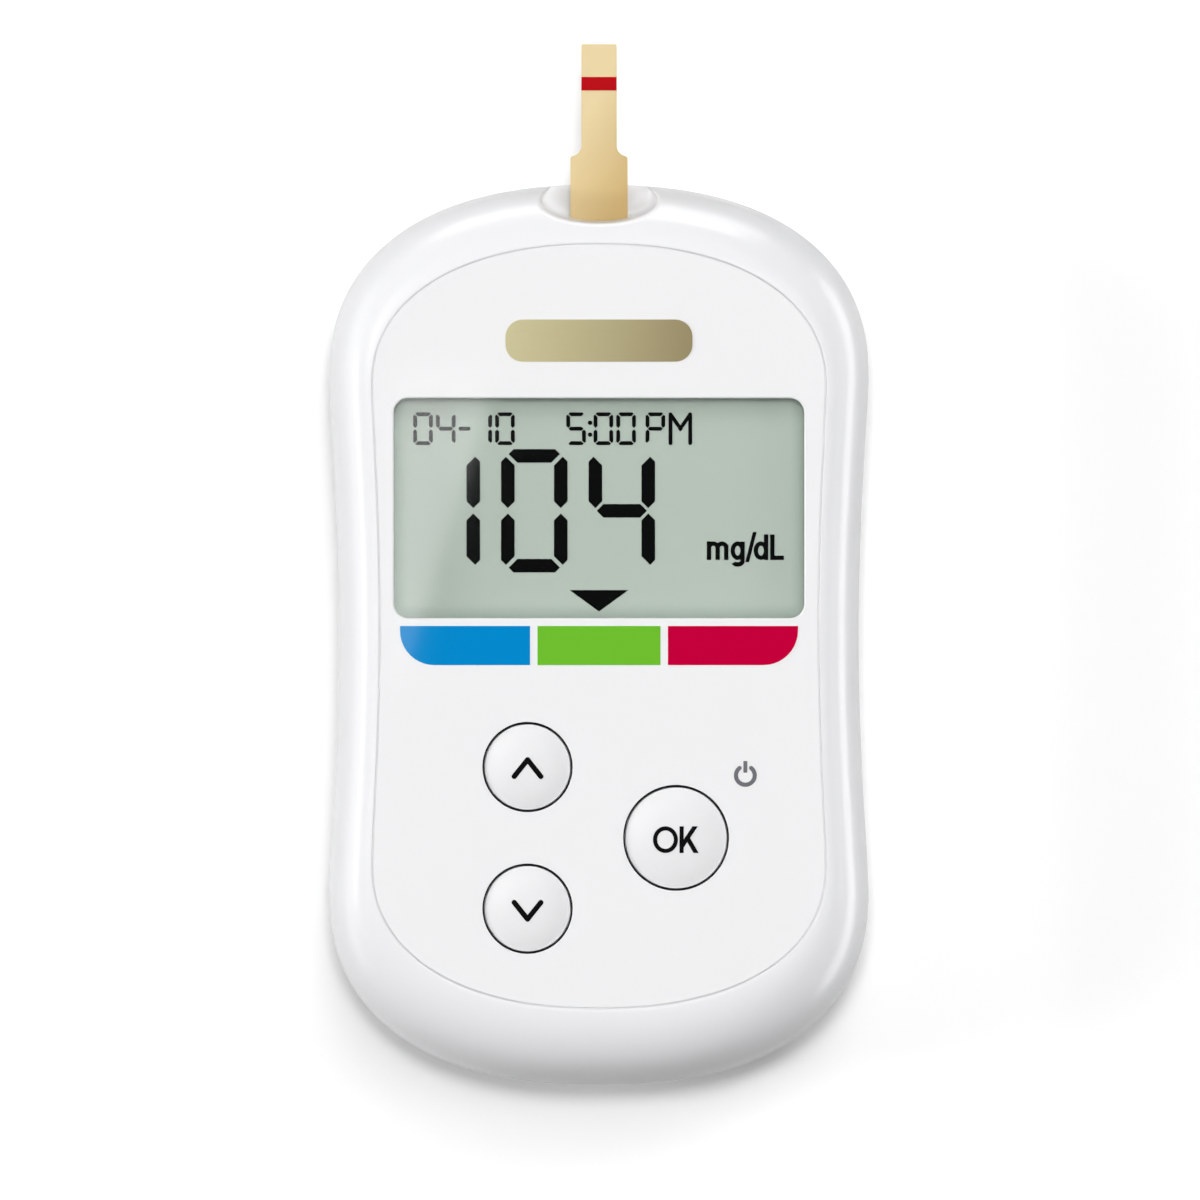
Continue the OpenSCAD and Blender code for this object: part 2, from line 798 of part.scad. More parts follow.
// Height of a key's crowned top at a distance from its middle
function crown_z(x, r) = key_edge_z + key_crown * (1 - pow(x / r, 2));
crown_n = 8;

// A key: a crowned cap, the flange that keeps it in, and the stem over its switch
module key(spot, r) {
  edge = 0.15;
  top = r - edge;
  translate(spot) rotate_extrude($fn = 96) polygon(concat(
    [[0, board_top + dome_h + 0.1], [stem_r, board_top + dome_h + 0.1], [stem_r, flange_z - flange_t]],
    [[r + flange_w, flange_z - flange_t], [r + flange_w, flange_z], [r, flange_z]],
    [[r, key_edge_z - edge]],
    [for (i = [crown_n:-1:0]) let (x = top * i / crown_n) [x, crown_z(x, top)]]
  ));
}

// A thin print that follows the key's crown, in the shape of its flat children
module key_print(spot, r) {
  top = r - 0.15;
  steps = [for (i = [0:crown_n]) top * i / crown_n];
  translate(spot) intersection() {
    translate([0, 0, body_t - past]) linear_extrude(3 * past) children();
    rotate_extrude($fn = 96) polygon(concat(
      [for (x = steps) [x, crown_z(x, top)]],
      [for (i = [crown_n:-1:0]) [steps[i], crown_z(steps[i], top) + ink_t]]
    ));
  }
}

module chevron(up) {
  half_w = 1.28;
  rise = 0.8 * up;
  for (side = [-1, 1]) stroke([side * half_w, -rise], [0, rise], arrow_mark_s);
}

module ok_letters() {
  s = ok_mark_s;
  h = 2.56;
  o_w = 2.4;
  k_w = 1.84;
  translate([-o_w + 0.18, -h / 2]) oval_ring(o_w / 2, h / 2, o_w / 2, h / 2, s);
  translate([0.33, -h / 2]) {
    square([s, h]);
    polygon([[s - 0.1, 0.37], [k_w - 0.08, h], [k_w - 0.6, h], [s - 0.1, 1.15]]);
    polygon([[0.62, 1.25], [k_w - 0.5, 0], [k_w, 0], [0.98, 1.5]]);
  }
}

module key_up() { color("white") key(up_spot, arrow_key_r); }
module key_down() { color("white") key(down_spot, arrow_key_r); }
module key_ok() { color("white") key(ok_spot, ok_key_r); }

module key_up_mark() {
  color("black") key_print(up_spot, arrow_key_r) translate([0, -0.1]) chevron(1);
}

module key_down_mark() {
  color("black") key_print(down_spot, arrow_key_r) translate([0, -0.2]) chevron(-1);
}

module key_ok_mark() {
  color("black") key_print(ok_spot, ok_key_r) translate([0, -0.17]) ok_letters();
}

// Soft rings in the front shell that close the gap round each key
module key_seals() {
  color([0.08, 0.08, 0.08])
    for (k = [[up_spot, arrow_key_r], [down_spot, arrow_key_r], [ok_spot, ok_key_r]])
      translate([k[0].x, k[0].y, plate_z - seal_t]) difference() {
        cylinder(r = k[1] + seal_w, h = seal_t);
        translate([0, 0, -past]) cylinder(r = k[1] + 0.1, h = seal_t + 2 * past);
      }
}

// A sprung metal dome on the circuit board under a key
module dome(spot) {
  color("silver") translate([spot.x, spot.y, board_top]) rotate_extrude() polygon([
    [0, dome_h - dome_t], [dome_r * 0.45, dome_h - 1.3 * dome_t], [dome_r * 0.8, 0.12], [dome_r * 0.85, 0],
    [dome_r, 0], [dome_r, dome_t], [dome_r * 0.87, dome_t + 0.06], [dome_r * 0.5, dome_h - 0.05], [0, dome_h]
  ]);
}

module dome_up() { dome(up_spot); }
module dome_down() { dome(down_spot); }
module dome_ok() { dome(ok_spot); }

// ---- Circuit board ----

module main_board() {
  color("darkgreen") difference() {
    translate([0, 0, board_z]) linear_extrude(board_t) polygon(section(0, wall + board_gap));
    at_screws() translate([0, 0, board_z - past])
      cylinder(r = screw_r + 0.3, h = board_t + 2 * past);
  }
}

module chip(x, y, w, h, t) {
  translate([x - w / 2, y - h / 2, board_top]) cube([w, h, t]);
}

module microcontroller() {
  color([0.1, 0.1, 0.11]) chip(chip_x, view_y + chip_up, chip_w, chip_w, chip_t);
}

module radio_module() {
  color("lightsteelblue") {
    chip(radio_x, view_y + radio_up, radio_w, radio_l, radio_t);
    translate([0, 0, radio_t]) chip(radio_x, view_y + can_up, can_w, can_l, can_t);
  }
}

// Small parts of the board: a crystal, and rows of capacitors and resistors
module board_parts() {
  color("tan") {
    chip(crystal_x, view_y + crystal_up, crystal_w, crystal_l, crystal_t);
    for (i = [0:row_n - 1])
      chip(row_x + row_pitch * i, view_y - row_low, small_part_l, small_part_w, small_part_t);
    for (i = [0:column_n - 1])
      chip(column_x, view_y - column_low + column_pitch * i, small_part_w, small_part_l, small_part_t);
    for (side = [-1, 1], i = [0:group_n - 1])
      chip(side * (connector_w / 2 + group_gap), connector_y + group_up + group_pitch * i,
           small_part_l, small_part_w, small_part_t);
  }
}

module strip_connector() {
  half = connector_w / 2;
  color([0.15, 0.15, 0.16]) difference() {
    block([-half, connector_y, board_top], [half, connector_end, connector_top]);
    block([-strip_w / 2 - slide_gap, connector_y + stop_t, strip_z - channel_gap],
          [strip_w / 2 + slide_gap, connector_end + past, strip_z + strip_t + channel_gap]);
    block([-strip_w / 2 + contact_side, connector_y + contact_start, strip_z + strip_t],
          [strip_w / 2 - contact_side, connector_end - contact_end, connector_top + past]);
  }
}

// Five sprung fingers that press on the strip's contacts from above
module strip_contacts() {
  y = connector_y + contact_start;
  tip = 0.12;
  top = connector_top - strip_z - strip_t - 0.3;
  color("gold") for (i = [-2:2]) translate([i * 0.9 - 0.22, y, strip_z + strip_t])
    rotate([90, 0, 90]) linear_extrude(0.44) polygon([
      [0, top - 0.2], [3.2, top - 0.2], [7, tip], [7.8, 0.5], [7.6, 0.6], [7, tip + 0.2], [3.3, top], [0, top]
    ]);
}

// ---- Test strip ----

strip_tip_y = body_top + strip_out;
strip_wide_y = body_top + strip_wide_out;

module test_strip() {
  notch_r = 1;
  corner_r = 0.25;
  half = strip_w / 2;
  tip = strip_tip_w / 2;
  side = concat(
    [[half, body_top - strip_in]],
    arc(half - corner_r, strip_wide_y - corner_r, corner_r, 0, 90, 4),
    arc(tip + notch_r, strip_wide_y + notch_r, notch_r, 270, 180, 10),
    [[tip, strip_tip_y]]
  );
  color("wheat") translate([0, 0, strip_z]) linear_extrude(strip_t)
    polygon(concat(side, [for (i = [len(side) - 1:-1:0]) [-side[i].x, side[i].y]]));
}

module strip_band() {
  color("firebrick") block(
    [-strip_tip_w / 2, strip_tip_y - band_inset - band_w, strip_z + strip_t],
    [strip_tip_w / 2, strip_tip_y - band_inset, strip_z + strip_t + ink_t]);
}

// ---- Battery bay ----

module battery_door() {
  half = door_w / 2;
  color("white") difference() {
    union() {
      intersection() {
        union() {
          block([-half, body_bottom, 0], [half, door_y, door_t]);
          block([-half - tongue_w, body_bottom, door_t / 2], [half + tongue_w, door_y, door_t]);
        }
        loft(back_rings(0));
      }
      block([-rib_w / 2, body_bottom + 5.2, door_t - fit], [rib_w / 2, body_bottom + 6.2, door_t + rib_h]);
    }
    for (i = [0:grip_n - 1])
      translate([0, body_bottom + grip_start + grip_pitch * i, 0])
        block([-grip_half, 0, -past], [grip_half, grip_w, grip_cut]);
  }
}

module coin_cell() {
  edge = 0.25;
  color("silver") translate([0, cell_y, cell_z]) rotate_extrude($fn = 96) polygon([
    [0, 0], [cell_r - edge, 0], [cell_r, edge], [cell_r, cell_t - 0.5], [cell_r - 0.35, cell_t - 0.15],
    [cell_r - 1.2, cell_t - 0.15], [cell_r - 1.3, cell_t - 0.3], [cell_r - 1.6, cell_t - 0.3],
    [cell_r - 1.7, cell_t], [0, cell_t]
  ]);
}

module battery_holder() {
  color([0.2, 0.2, 0.22]) translate([0, cell_y, bay_top]) difference() {
    cylinder(r = cell_r + holder_gap + holder_t, h = board_z - bay_top, $fn = 96);
    translate([0, 0, -past]) cylinder(r = cell_r + holder_gap, h = board_z - bay_top + 2 * past, $fn = 96);
    block([cell_r - 1, -1.6, -past], [cell_r + holder_gap + holder_t + past, 1.6, board_z]);
  }
}

// A sprung leaf from the circuit board down to the middle of the cell
module cell_contact_negative() {
  low = cell_z + cell_t;
  top = board_z - low;
  color("gold") translate([-leaf_w / 2, cell_y, low])
    rotate([90, 0, 90]) linear_extrude(leaf_w) polygon([
      [-leaf_foot, top], [-leaf_bend, top], [leaf_touch, leaf_t], [leaf_tip, leaf_lift],
      [leaf_tip + leaf_t / 2, leaf_lift - leaf_t], [leaf_touch, 0], [leaf_touch - 2 * leaf_t, 0],
      [-leaf_bend - leaf_t, top - leaf_t], [-leaf_foot, top - leaf_t]
    ]);
}

// A leaf from the circuit board down beside the rim of the cell
module cell_contact_positive() {
  x = cell_r + fit;
  color("gold") translate([0, cell_y, 0]) {
    block([x, -1.4, bay_top + fit], [x + 0.2, 1.4, board_z]);
    block([x, -1.4, board_z - 0.2], [x + 3.2, 1.4, board_z]);
  }
}

module battery_pull_tab() {
  reach = cell_r - tab_inset;
  color("lightyellow")
    block([-tab_w / 2, cell_y - reach, bay_z + slide_gap], [tab_w / 2, cell_y + reach, cell_z]);
}

module usb_socket() {
  half = usb_w / 2;
  wall_t = 0.3;
  color("silver") difference() {
    block([-half, usb_y, usb_z], [half, usb_y + usb_l, board_z]);
    translate([0, usb_y + usb_l - 0.6, 0]) rotate([90, 0, 0]) linear_extrude(usb_l) polygon([
      [-half + 1.1, usb_z + wall_t], [half - 1.1, usb_z + wall_t], [half - wall_t, usb_z + 1.1],
      [half - wall_t, board_z - 0.45], [-half + wall_t, board_z - 0.45], [-half + wall_t, usb_z + 1.1]
    ]);
  }
  color("black") block([-half + 1.9, usb_y + 0.5, board_z - 1.2],
                       [half - 1.9, usb_y + usb_l - 0.6, board_z - 0.6]);
}

// ---- Prints ----

// One bar of the row under the display; side is the end whose lower corner is round, or 0
module bar(x, w, side) {
  r = side == 0 ? 0 : bar_r;
  corner = r == 0 ? [[w, -bar_h]] : arc(w - r, r - bar_h, r, -90, 0, 10);
  translate([x, bar_top_y, body_t]) linear_extrude(ink_t)
    mirror([side < 0 ? 1 : 0, 0]) polygon(concat([[0, 0], [0, -bar_h]], corner, [[w, 0]]));
}

bar_side_w = (bar_row_w - bar_mid_w) / 2 - bar_gap;

module bar_blue() { color([0.01, 0.53, 0.8]) bar(-bar_mid_w / 2 - bar_gap, bar_side_w, -1); }
module bar_green() { color([0.43, 0.75, 0.18]) bar(-bar_mid_w / 2, bar_mid_w, 0); }
module bar_red() { color([0.77, 0, 0.23]) bar(bar_mid_w / 2 + bar_gap, bar_side_w, 1); }

module badge_plate() {
  color([0.65, 0.6, 0.4]) translate([0, badge_y, body_t]) linear_extrude(2 * ink_t)
    rounded(badge_w, badge_h, badge_r);
}

module power_mark() {
  opening = 34;
  color("gray") translate([power_x, power_y, body_t]) linear_extrude(ink_t) {
    bend(0, 0, power_r, power_r, power_s, 90 + opening, 450 - opening);
    translate([-power_s / 2, power_bar_low]) square([power_s, power_bar_l]);
  }
}

module rear_label() {
  color("gainsboro") translate([0, label_y, label_inset])
    linear_extrude(label_cut - label_inset) rounded(label_w, label_h, label_r);
}

front_shell();
rear_shell();
faceplate();
display_window();
lcd_front_polarizer();
lcd_front_glass();
lcd_rear_glass();
lcd_reflector();
lcd_segments();
lcd_holder();
zebra_strip();
key_up();
key_down();
key_ok();
key_up_mark();
key_down_mark();
key_ok_mark();
key_seals();
dome_up();
dome_down();
dome_ok();
main_board();
microcontroller();
radio_module();
board_parts();
strip_connector();
strip_contacts();
test_strip();
strip_band();
battery_door();
coin_cell();
battery_holder();
cell_contact_positive();
cell_contact_negative();
battery_pull_tab();
usb_socket();
case_screws();
bar_blue();
bar_green();
bar_red();
badge_plate();
power_mark();
rear_label();
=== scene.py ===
import json
import math

import bmesh
import bpy
from mathutils import Matrix, Vector, kdtree


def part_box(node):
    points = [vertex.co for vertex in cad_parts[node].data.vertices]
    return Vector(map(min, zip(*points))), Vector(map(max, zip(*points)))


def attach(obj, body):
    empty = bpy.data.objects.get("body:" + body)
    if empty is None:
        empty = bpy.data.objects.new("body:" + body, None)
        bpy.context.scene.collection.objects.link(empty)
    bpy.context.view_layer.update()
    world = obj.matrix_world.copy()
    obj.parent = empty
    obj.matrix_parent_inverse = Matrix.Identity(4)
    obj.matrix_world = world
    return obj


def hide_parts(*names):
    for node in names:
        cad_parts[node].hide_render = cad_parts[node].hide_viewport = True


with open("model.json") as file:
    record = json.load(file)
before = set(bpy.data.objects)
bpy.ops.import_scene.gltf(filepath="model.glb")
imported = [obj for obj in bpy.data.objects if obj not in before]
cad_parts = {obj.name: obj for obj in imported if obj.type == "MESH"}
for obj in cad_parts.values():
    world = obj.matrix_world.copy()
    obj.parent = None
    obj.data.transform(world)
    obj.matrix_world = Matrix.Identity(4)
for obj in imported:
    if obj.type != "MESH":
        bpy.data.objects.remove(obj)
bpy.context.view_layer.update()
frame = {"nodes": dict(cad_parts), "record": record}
nodes = frame["nodes"]

# ---- Sizes, in millimetres, as the solids have them ----

MM = 0.001
BODY = {"w": 51.8, "top": 43.2, "bottom": -43.2, "end": 18.7, "waist": 0.96, "power": 2.35}
PLATE = {"w": 43.4, "top": 37.4, "bottom": -35.8, "end": 13.7, "waist": 0.72, "power": 2.25}
BODY_T = 16.0
PARTING = 8.0
PLATE_Z = 15.2
CEILING = 13.6
WALL = 1.6
LIP_T = 0.75
LIP_Z = 8.8
GROOVE_Z = 8.95
SHOULDER = 2.2
BACK_INSET = 5.0
PLATE_GAP = 0.15
SEAM_DEPTH = 0.25
EDGE = 0.12
FINE_EDGE = 0.035
VIEW_EDGE = 0.2

VIEW = (0.0, 12.15, 39.4, 21.1, 1.4)
WINDOW_Z = (14.15, 15.15)
WINDOW_RIM = 0.7
KEYS = {"key_up": (-6.86, -12.7, 4.1), "key_down": (-6.86, -26.3, 4.1), "key_ok": (7.4, -19.5, 4.85)}
KEY_EDGE_Z = 15.75
KEY_TOP_Z = 16.32
KEY_CROWN = 0.28
KEY_ROOM = 0.23
KEY_FLANGE = (0.9, 12.6, 13.4)
KEY_STEM = (1.3, 9.5)

SCOOP = (0.0, 41.74, 5.6, 2.2)
SCOOP_Z = 9.4
SCOOP_LIP = 0.55
STRIP_Z = 9.95
STRIP_T = 0.35
STRIP_TIP = 1.7
SLOT_ROOM = 0.15
MARK_STROKE = 0.4
MARK_OPEN = 38

SCREW_HEAD = 1.9
SCREW_SHANK = 0.9
SCREWS = [(-15.0, 30.0), (15.0, 30.0), (-17.2, -30.0), (17.2, -30.0)]
CELL = (0.0, -21.5, 10.25)
DOOR_Y = -8.0
DOOR_T = 1.5
DOOR_HALF = 13.0
DOOR_ROOM = 0.15
TONGUE = 0.8
BAY_TOP = 2.85

SIDE_POINTS = 32
END_POINTS = 44
SKIN_RINGS = 26


# ---- Outlines and rings ----

def mix(a, b, t):
    return a + (b - a) * t


def section(t, inset=0.0):
    """The outline at a share t of the way from the case's widest outline to the faceplate's."""
    width, top, bottom, end, waist, power = (
        mix(BODY[key], PLATE[key], t) for key in ("w", "top", "bottom", "end", "waist", "power"))
    width -= 2 * inset
    top -= inset
    bottom += inset
    end -= inset
    high, low = top - end, bottom + end
    middle, half = (high + low) / 2, (high - low) / 2
    side = []
    for i in range(SIDE_POINTS):
        y = low + 2 * half * i / SIDE_POINTS
        side.append((width / 2 - waist * (1 - ((y - middle) / half) ** 2) ** 1.3, y))
    cap = []
    for i in range(2 * END_POINTS):
        angle = math.pi / 2 * i / END_POINTS
        across = math.cos(angle)
        x = math.copysign(abs(across) ** (2 / power), across) if abs(across) > 1e-9 else 0.0
        cap.append((width / 2 * x, end * math.sin(angle) ** (2 / power)))
    return (side + [(x, high + y) for x, y in cap] + [(-x, 2 * middle - y) for x, y in side]
            + [(-x, low - y) for x, y in cap])


def level(points, z):
    return [(x, y, z) for x, y in points]


def drawn_in(u):
    """How far along it a rounded shoulder draws in at a share u of its height."""
    return 1 - (1 - u ** SHOULDER) ** (1 / SHOULDER)


def front_ring(z, inset=0.0):
    return level(section(drawn_in((z - PARTING) / (BODY_T - PARTING)), inset), z)


def back_ring(z, inset=0.0):
    return level(section(0, BACK_INSET * drawn_in((PARTING - z) / PARTING) + inset), z)


def ring_shares():
    """Shares of a shoulder's height, close together where it turns fastest."""
    return [math.sin(math.pi / 2 * i / SKIN_RINGS) ** (2 / SHOULDER) for i in range(1, SKIN_RINGS)]


def shoulder_z(x, y):
    """Height of the front shoulder over a point near the top end."""
    low, high = 0.0, 1.0
    for _ in range(40):
        t = (low + high) / 2
        width, top, end, power = (mix(BODY[key], PLATE[key], t) for key in ("w", "top", "end", "power"))
        reach = max(0.0, 1 - abs(2 * x / width) ** power) ** (1 / power)
        if top - end + end * reach > y:
            low = t
        else:
            high = t
    if low < 1e-6:
        return PARTING
    return PARTING + (BODY_T - PARTING) * (1 - (1 - low) ** SHOULDER) ** (1 / SHOULDER)


def circle(x, y, r, count=96):
    return ellipse(x, y, r, r, count)


def ellipse(x, y, rx, ry, count=96):
    turns = [2 * math.pi * i / count for i in range(count)]
    return [(x + rx * math.cos(a), y + ry * math.sin(a)) for a in turns]


def rounded(x, y, w, h, r, steps=10):
    """A rounded rectangle about a middle point."""
    points = []
    for corner, (sx, sy) in enumerate(((1, 1), (-1, 1), (-1, -1), (1, -1))):
        for i in range(steps + 1):
            angle = math.pi / 2 * (corner + i / steps)
            points.append((x + sx * (w / 2 - r) + r * math.cos(angle), y + sy * (h / 2 - r) + r * math.sin(angle)))
    return points


# ---- Shaping ----

def alone(piece):
    """Selects one piece only and makes it the one that is worked on."""
    if bpy.context.object and bpy.context.object.mode != "OBJECT":
        bpy.ops.object.mode_set(mode="OBJECT")
    bpy.ops.object.select_all(action="DESELECT")
    piece.select_set(True)
    bpy.context.view_layer.objects.active = piece


def loft(name, rings):
    """A closed skin: a disc drawn out ring by ring, with a flat cap at either end."""
    bpy.ops.object.select_all(action="DESELECT")
    bpy.ops.mesh.primitive_circle_add(vertices=len(rings[0]), radius=1, fill_type="NGON")
    piece = bpy.context.object
    piece.name = piece.data.name = name
    bpy.ops.object.mode_set(mode="EDIT")
    bpy.ops.mesh.select_all(action="SELECT")
    skin = bmesh.from_edit_mesh(piece.data)
    skin.verts.ensure_lookup_table()
    for vert, point in zip(skin.verts, rings[0]):
        vert.co = point
    for last, ring in zip(rings, rings[1:]):
        bmesh.update_edit_mesh(piece.data)
        bpy.ops.mesh.extrude_region_move()
        skin = bmesh.from_edit_mesh(piece.data)
        nearest = kdtree.KDTree(len(last))
        for i, point in enumerate(last):
            nearest.insert(point, i)
        nearest.balance()
        for vert in [v for v in skin.verts if v.select]:
            vert.co = ring[nearest.find(vert.co)[1]]
    bmesh.update_edit_mesh(piece.data)
    bpy.ops.mesh.select_all(action="SELECT")
    bpy.ops.mesh.normals_make_consistent(inside=False)
    bpy.ops.object.mode_set(mode="OBJECT")
    return piece


def slab(name, points, low, high):
    return loft(name, [level(points, low), level(points, high)])


def block(name, low, high):
    (x0, y0, z0), (x1, y1, z1) = low, high
    return slab(name, [(x0, y0), (x1, y0), (x1, y1), (x0, y1)], z0, z1)


def combine(piece, tool, operation="DIFFERENCE"):
    """Cuts a tool out of a piece, or joins or crosses the two."""
    alone(piece)
    step = piece.modifiers.new("combine", "BOOLEAN")
    step.operation = operation
    step.solver = "EXACT"
    step.object = tool
    bpy.ops.object.modifier_apply(modifier=step.name)
    bpy.data.objects.remove(tool)


def soften(piece, picked, width, segments=3):
    """Rounds the edges for which picked says yes."""
    alone(piece)
    bpy.ops.object.mode_set(mode="EDIT")
    bpy.ops.mesh.select_mode(type="EDGE")
    bpy.ops.mesh.select_all(action="DESELECT")
    shape = bmesh.from_edit_mesh(piece.data)
    for edge in shape.edges:
        edge.select = len(edge.link_faces) == 2 and picked(edge)
    shape.select_flush_mode()
    bmesh.update_edit_mesh(piece.data)
    bpy.ops.mesh.bevel(offset=width, segments=segments, affect="EDGES", clamp_overlap=True)
    bpy.ops.object.mode_set(mode="OBJECT")


def sharp_at(*heights, angle=40):
    """Picks the sharp edges that lie at one of some heights."""
    def picked(edge):
        a, b = (vert.co.z for vert in edge.verts)
        return (any(abs(a - z) < 0.004 and abs(b - z) < 0.004 for z in heights)
                and edge.calc_face_angle(0) > math.radians(angle))
    return picked


def finished(piece, body, slot, *replaced, angle=32):
    """Brings a piece to metres, smooths it with its large faces flat, and gives it its finish and its body."""
    alone(piece)
    piece.data.transform(Matrix.Scale(MM, 4))
    bpy.ops.object.shade_smooth_by_angle(angle=math.radians(angle))
    step = piece.modifiers.new("normals", "WEIGHTED_NORMAL")
    step.keep_sharp = True
    step.weight = 60
    bpy.ops.object.modifier_apply(modifier=step.name)
    piece.data.materials.clear()
    piece.data.materials.append(FINISHES[slot])
    if replaced:
        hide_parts(*replaced)
    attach(piece, body)
    return piece


# ---- Finishes ----

def finish(name, colour, roughness, mottle=0.03, mottle_scale=90, grain=2600, depth=0.03, stretch=(1, 1, 1),
           metallic=0.0, spread=0.05, **sockets):
    """A finish with fine grain, a little mottling of its colour and gloss, and constants by socket name."""
    material = bpy.data.materials.new(name)
    material.use_nodes = True
    tree = material.node_tree
    new, link = tree.nodes.new, tree.links.new
    shader = tree.nodes["Principled BSDF"]
    place = new("ShaderNodeTexCoord")
    turn = new("ShaderNodeMapping")
    turn.inputs["Scale"].default_value = stretch
    link(place.outputs["Object"], turn.inputs["Vector"])
    blotch = new("ShaderNodeTexNoise")
    blotch.inputs["Scale"].default_value = mottle_scale
    blotch.inputs["Detail"].default_value = 4
    link(turn.outputs["Vector"], blotch.inputs["Vector"])
    tint = new("ShaderNodeMix")
    tint.data_type = "RGBA"
    tint.inputs["A"].default_value = [c * (1 - mottle) for c in colour] + [1]
    tint.inputs["B"].default_value = [min(1, c * (1 + mottle)) for c in colour] + [1]
    link(blotch.outputs["Fac"], tint.inputs["Factor"])
    link(tint.outputs["Result"], shader.inputs["Base Color"])
    gloss = new("ShaderNodeMapRange")
    gloss.inputs["To Min"].default_value = max(0.01, roughness - spread)
    gloss.inputs["To Max"].default_value = roughness + spread
    link(blotch.outputs["Fac"], gloss.inputs["Value"])
    link(gloss.outputs["Result"], shader.inputs["Roughness"])
    fine = new("ShaderNodeTexNoise")
    fine.inputs["Scale"].default_value = grain
    fine.inputs["Detail"].default_value = 3
    link(turn.outputs["Vector"], fine.inputs["Vector"])
    bump = new("ShaderNodeBump")
    bump.inputs["Strength"].default_value = depth
    bump.inputs["Distance"].default_value = 0.00003
    link(fine.outputs["Fac"], bump.inputs["Height"])
    link(bump.outputs["Normal"], shader.inputs["Normal"])
    shader.inputs["Metallic"].default_value = metallic
    for socket, value in sockets.items():
        shader.inputs[socket.replace("_", " ")].default_value = value
    FINISHES[name] = material
    return material


def blended(name, share, far):
    """Mixes another colour into a finish by the share a socket gives."""
    tree = FINISHES[name].node_tree
    base = tree.nodes["Principled BSDF"].inputs["Base Color"]
    blend = tree.nodes.new("ShaderNodeMix")
    blend.data_type = "RGBA"
    tree.links.new(base.links[0].from_socket, blend.inputs["A"])
    blend.inputs["B"].default_value = list(far) + [1]
    tree.links.new(share, blend.inputs["Factor"])
    tree.links.new(blend.outputs["Result"], base)


def stepped(name, value, low, high):
    """A share that rises from 0 to 1 while a value goes from low to high."""
    tree = FINISHES[name].node_tree
    share = tree.nodes.new("ShaderNodeMapRange")
    share.inputs["From Min"].default_value = low
    share.inputs["From Max"].default_value = high
    tree.links.new(value, share.inputs["Value"])
    return share.outputs["Result"]


def added(name, kind, **sockets):
    """A texture or vector node read at the object's own coordinates."""
    tree = FINISHES[name].node_tree
    node = tree.nodes.new(kind)
    place = next(other for other in tree.nodes if other.type == "TEX_COORD")
    tree.links.new(place.outputs["Object"], node.inputs["Vector"])
    for socket, value in sockets.items():
        node.inputs[socket.replace("_", " ")].default_value = value
    return node


def painted_shade_along(name, direction, low, high, far):
    """Paints shade on a finish: lets it run to another colour along a direction, from low to high in millimetres."""
    along = added(name, "ShaderNodeVectorMath")
    along.operation = "DOT_PRODUCT"
    along.inputs[1].default_value = direction
    blended(name, stepped(name, along.outputs["Value"], low * MM, high * MM), far)


def painted_edge_shade(name, opening, width, far):
    """Paints shade on a finish towards the edges of an opening: lets it run to another colour over a width in
    millimetres.
    """
    tree = FINISHES[name].node_tree
    x, y, w, h = opening
    shift = added(name, "ShaderNodeVectorMath")
    shift.operation = "SUBTRACT"
    shift.inputs[1].default_value = (x * MM, y * MM, 0)
    parts = tree.nodes.new("ShaderNodeSeparateXYZ")
    tree.links.new(shift.outputs["Vector"], parts.inputs[0])
    for axis, half in (("X", w / 2), ("Y", h / 2)):
        away = tree.nodes.new("ShaderNodeMath")
        away.operation = "ABSOLUTE"
        tree.links.new(parts.outputs[axis], away.inputs[0])
        share = tree.nodes.new("ShaderNodeMapRange")
        share.interpolation_type = "SMOOTHSTEP"
        share.inputs["From Min"].default_value = (half - width) * MM
        share.inputs["From Max"].default_value = (half + 0.2) * MM
        tree.links.new(away.outputs[0], share.inputs["Value"])
        blended(name, share.outputs["Result"], far)


def painted_hollow_shade(name, middle, reach, far):
    """Paints shade on a finish inside an egg-shaped space: lets it run to another colour there, in millimetres."""
    space = added(name, "ShaderNodeMapping", Location=[c * MM for c in middle], Scale=[c * MM for c in reach])
    space.vector_type = "TEXTURE"
    length = FINISHES[name].node_tree.nodes.new("ShaderNodeVectorMath")
    length.operation = "LENGTH"
    FINISHES[name].node_tree.links.new(space.outputs["Vector"], length.inputs[0])
    blended(name, stepped(name, length.outputs["Value"], 1.05, 0.75), far)


def striped(name, pitch, direction, cover, far):
    """Fine stripes of another colour, at a pitch in millimetres."""
    wave = added(name, "ShaderNodeTexWave", Scale=2 * math.pi / (20 * pitch * MM))
    wave.bands_direction = direction
    blended(name, stepped(name, wave.outputs["Fac"], 1 - cover - 0.1, 1 - cover + 0.1), far)


def srgb(code):
    """Linear colour of a six-digit colour code."""
    parts = [int(code[i:i + 2], 16) / 255 for i in (0, 2, 4)]
    return [c / 12.92 if c <= 0.04045 else ((c + 0.055) / 1.055) ** 2.4 for c in parts]


FINISHES = {}
for plain in list(bpy.data.materials):
    bpy.data.materials.remove(plain)
finish("case_white", (0.86, 0.863, 0.875), 0.35, mottle=0.006, depth=0.05, Specular_IOR_Level=0.3,
       Coat_Weight=0.3, Coat_Roughness=0.16)
finish("plate_white", (0.875, 0.877, 0.885), 0.32, mottle=0.006, depth=0.04, Coat_Weight=0.16, Coat_Roughness=0.02)
finish("key_white", (0.835, 0.837, 0.845), 0.36, mottle=0.008, grain=1800, depth=0.1)
finish("clear_window", (0.04, 0.045, 0.045), 0.03, mottle=0.01, spread=0.01, depth=0.005, Alpha=0.035)
finish("display_grey", srgb("C2CFC4"), 0.6, mottle=0.012, mottle_scale=30, depth=0.03, Specular_IOR_Level=0.1,
       Coat_Weight=1.0, Coat_Roughness=0.025)
finish("cell_glass", (0.84, 0.9, 0.88), 0.05, mottle=0.01, spread=0.02, depth=0.01, Alpha=0.3)
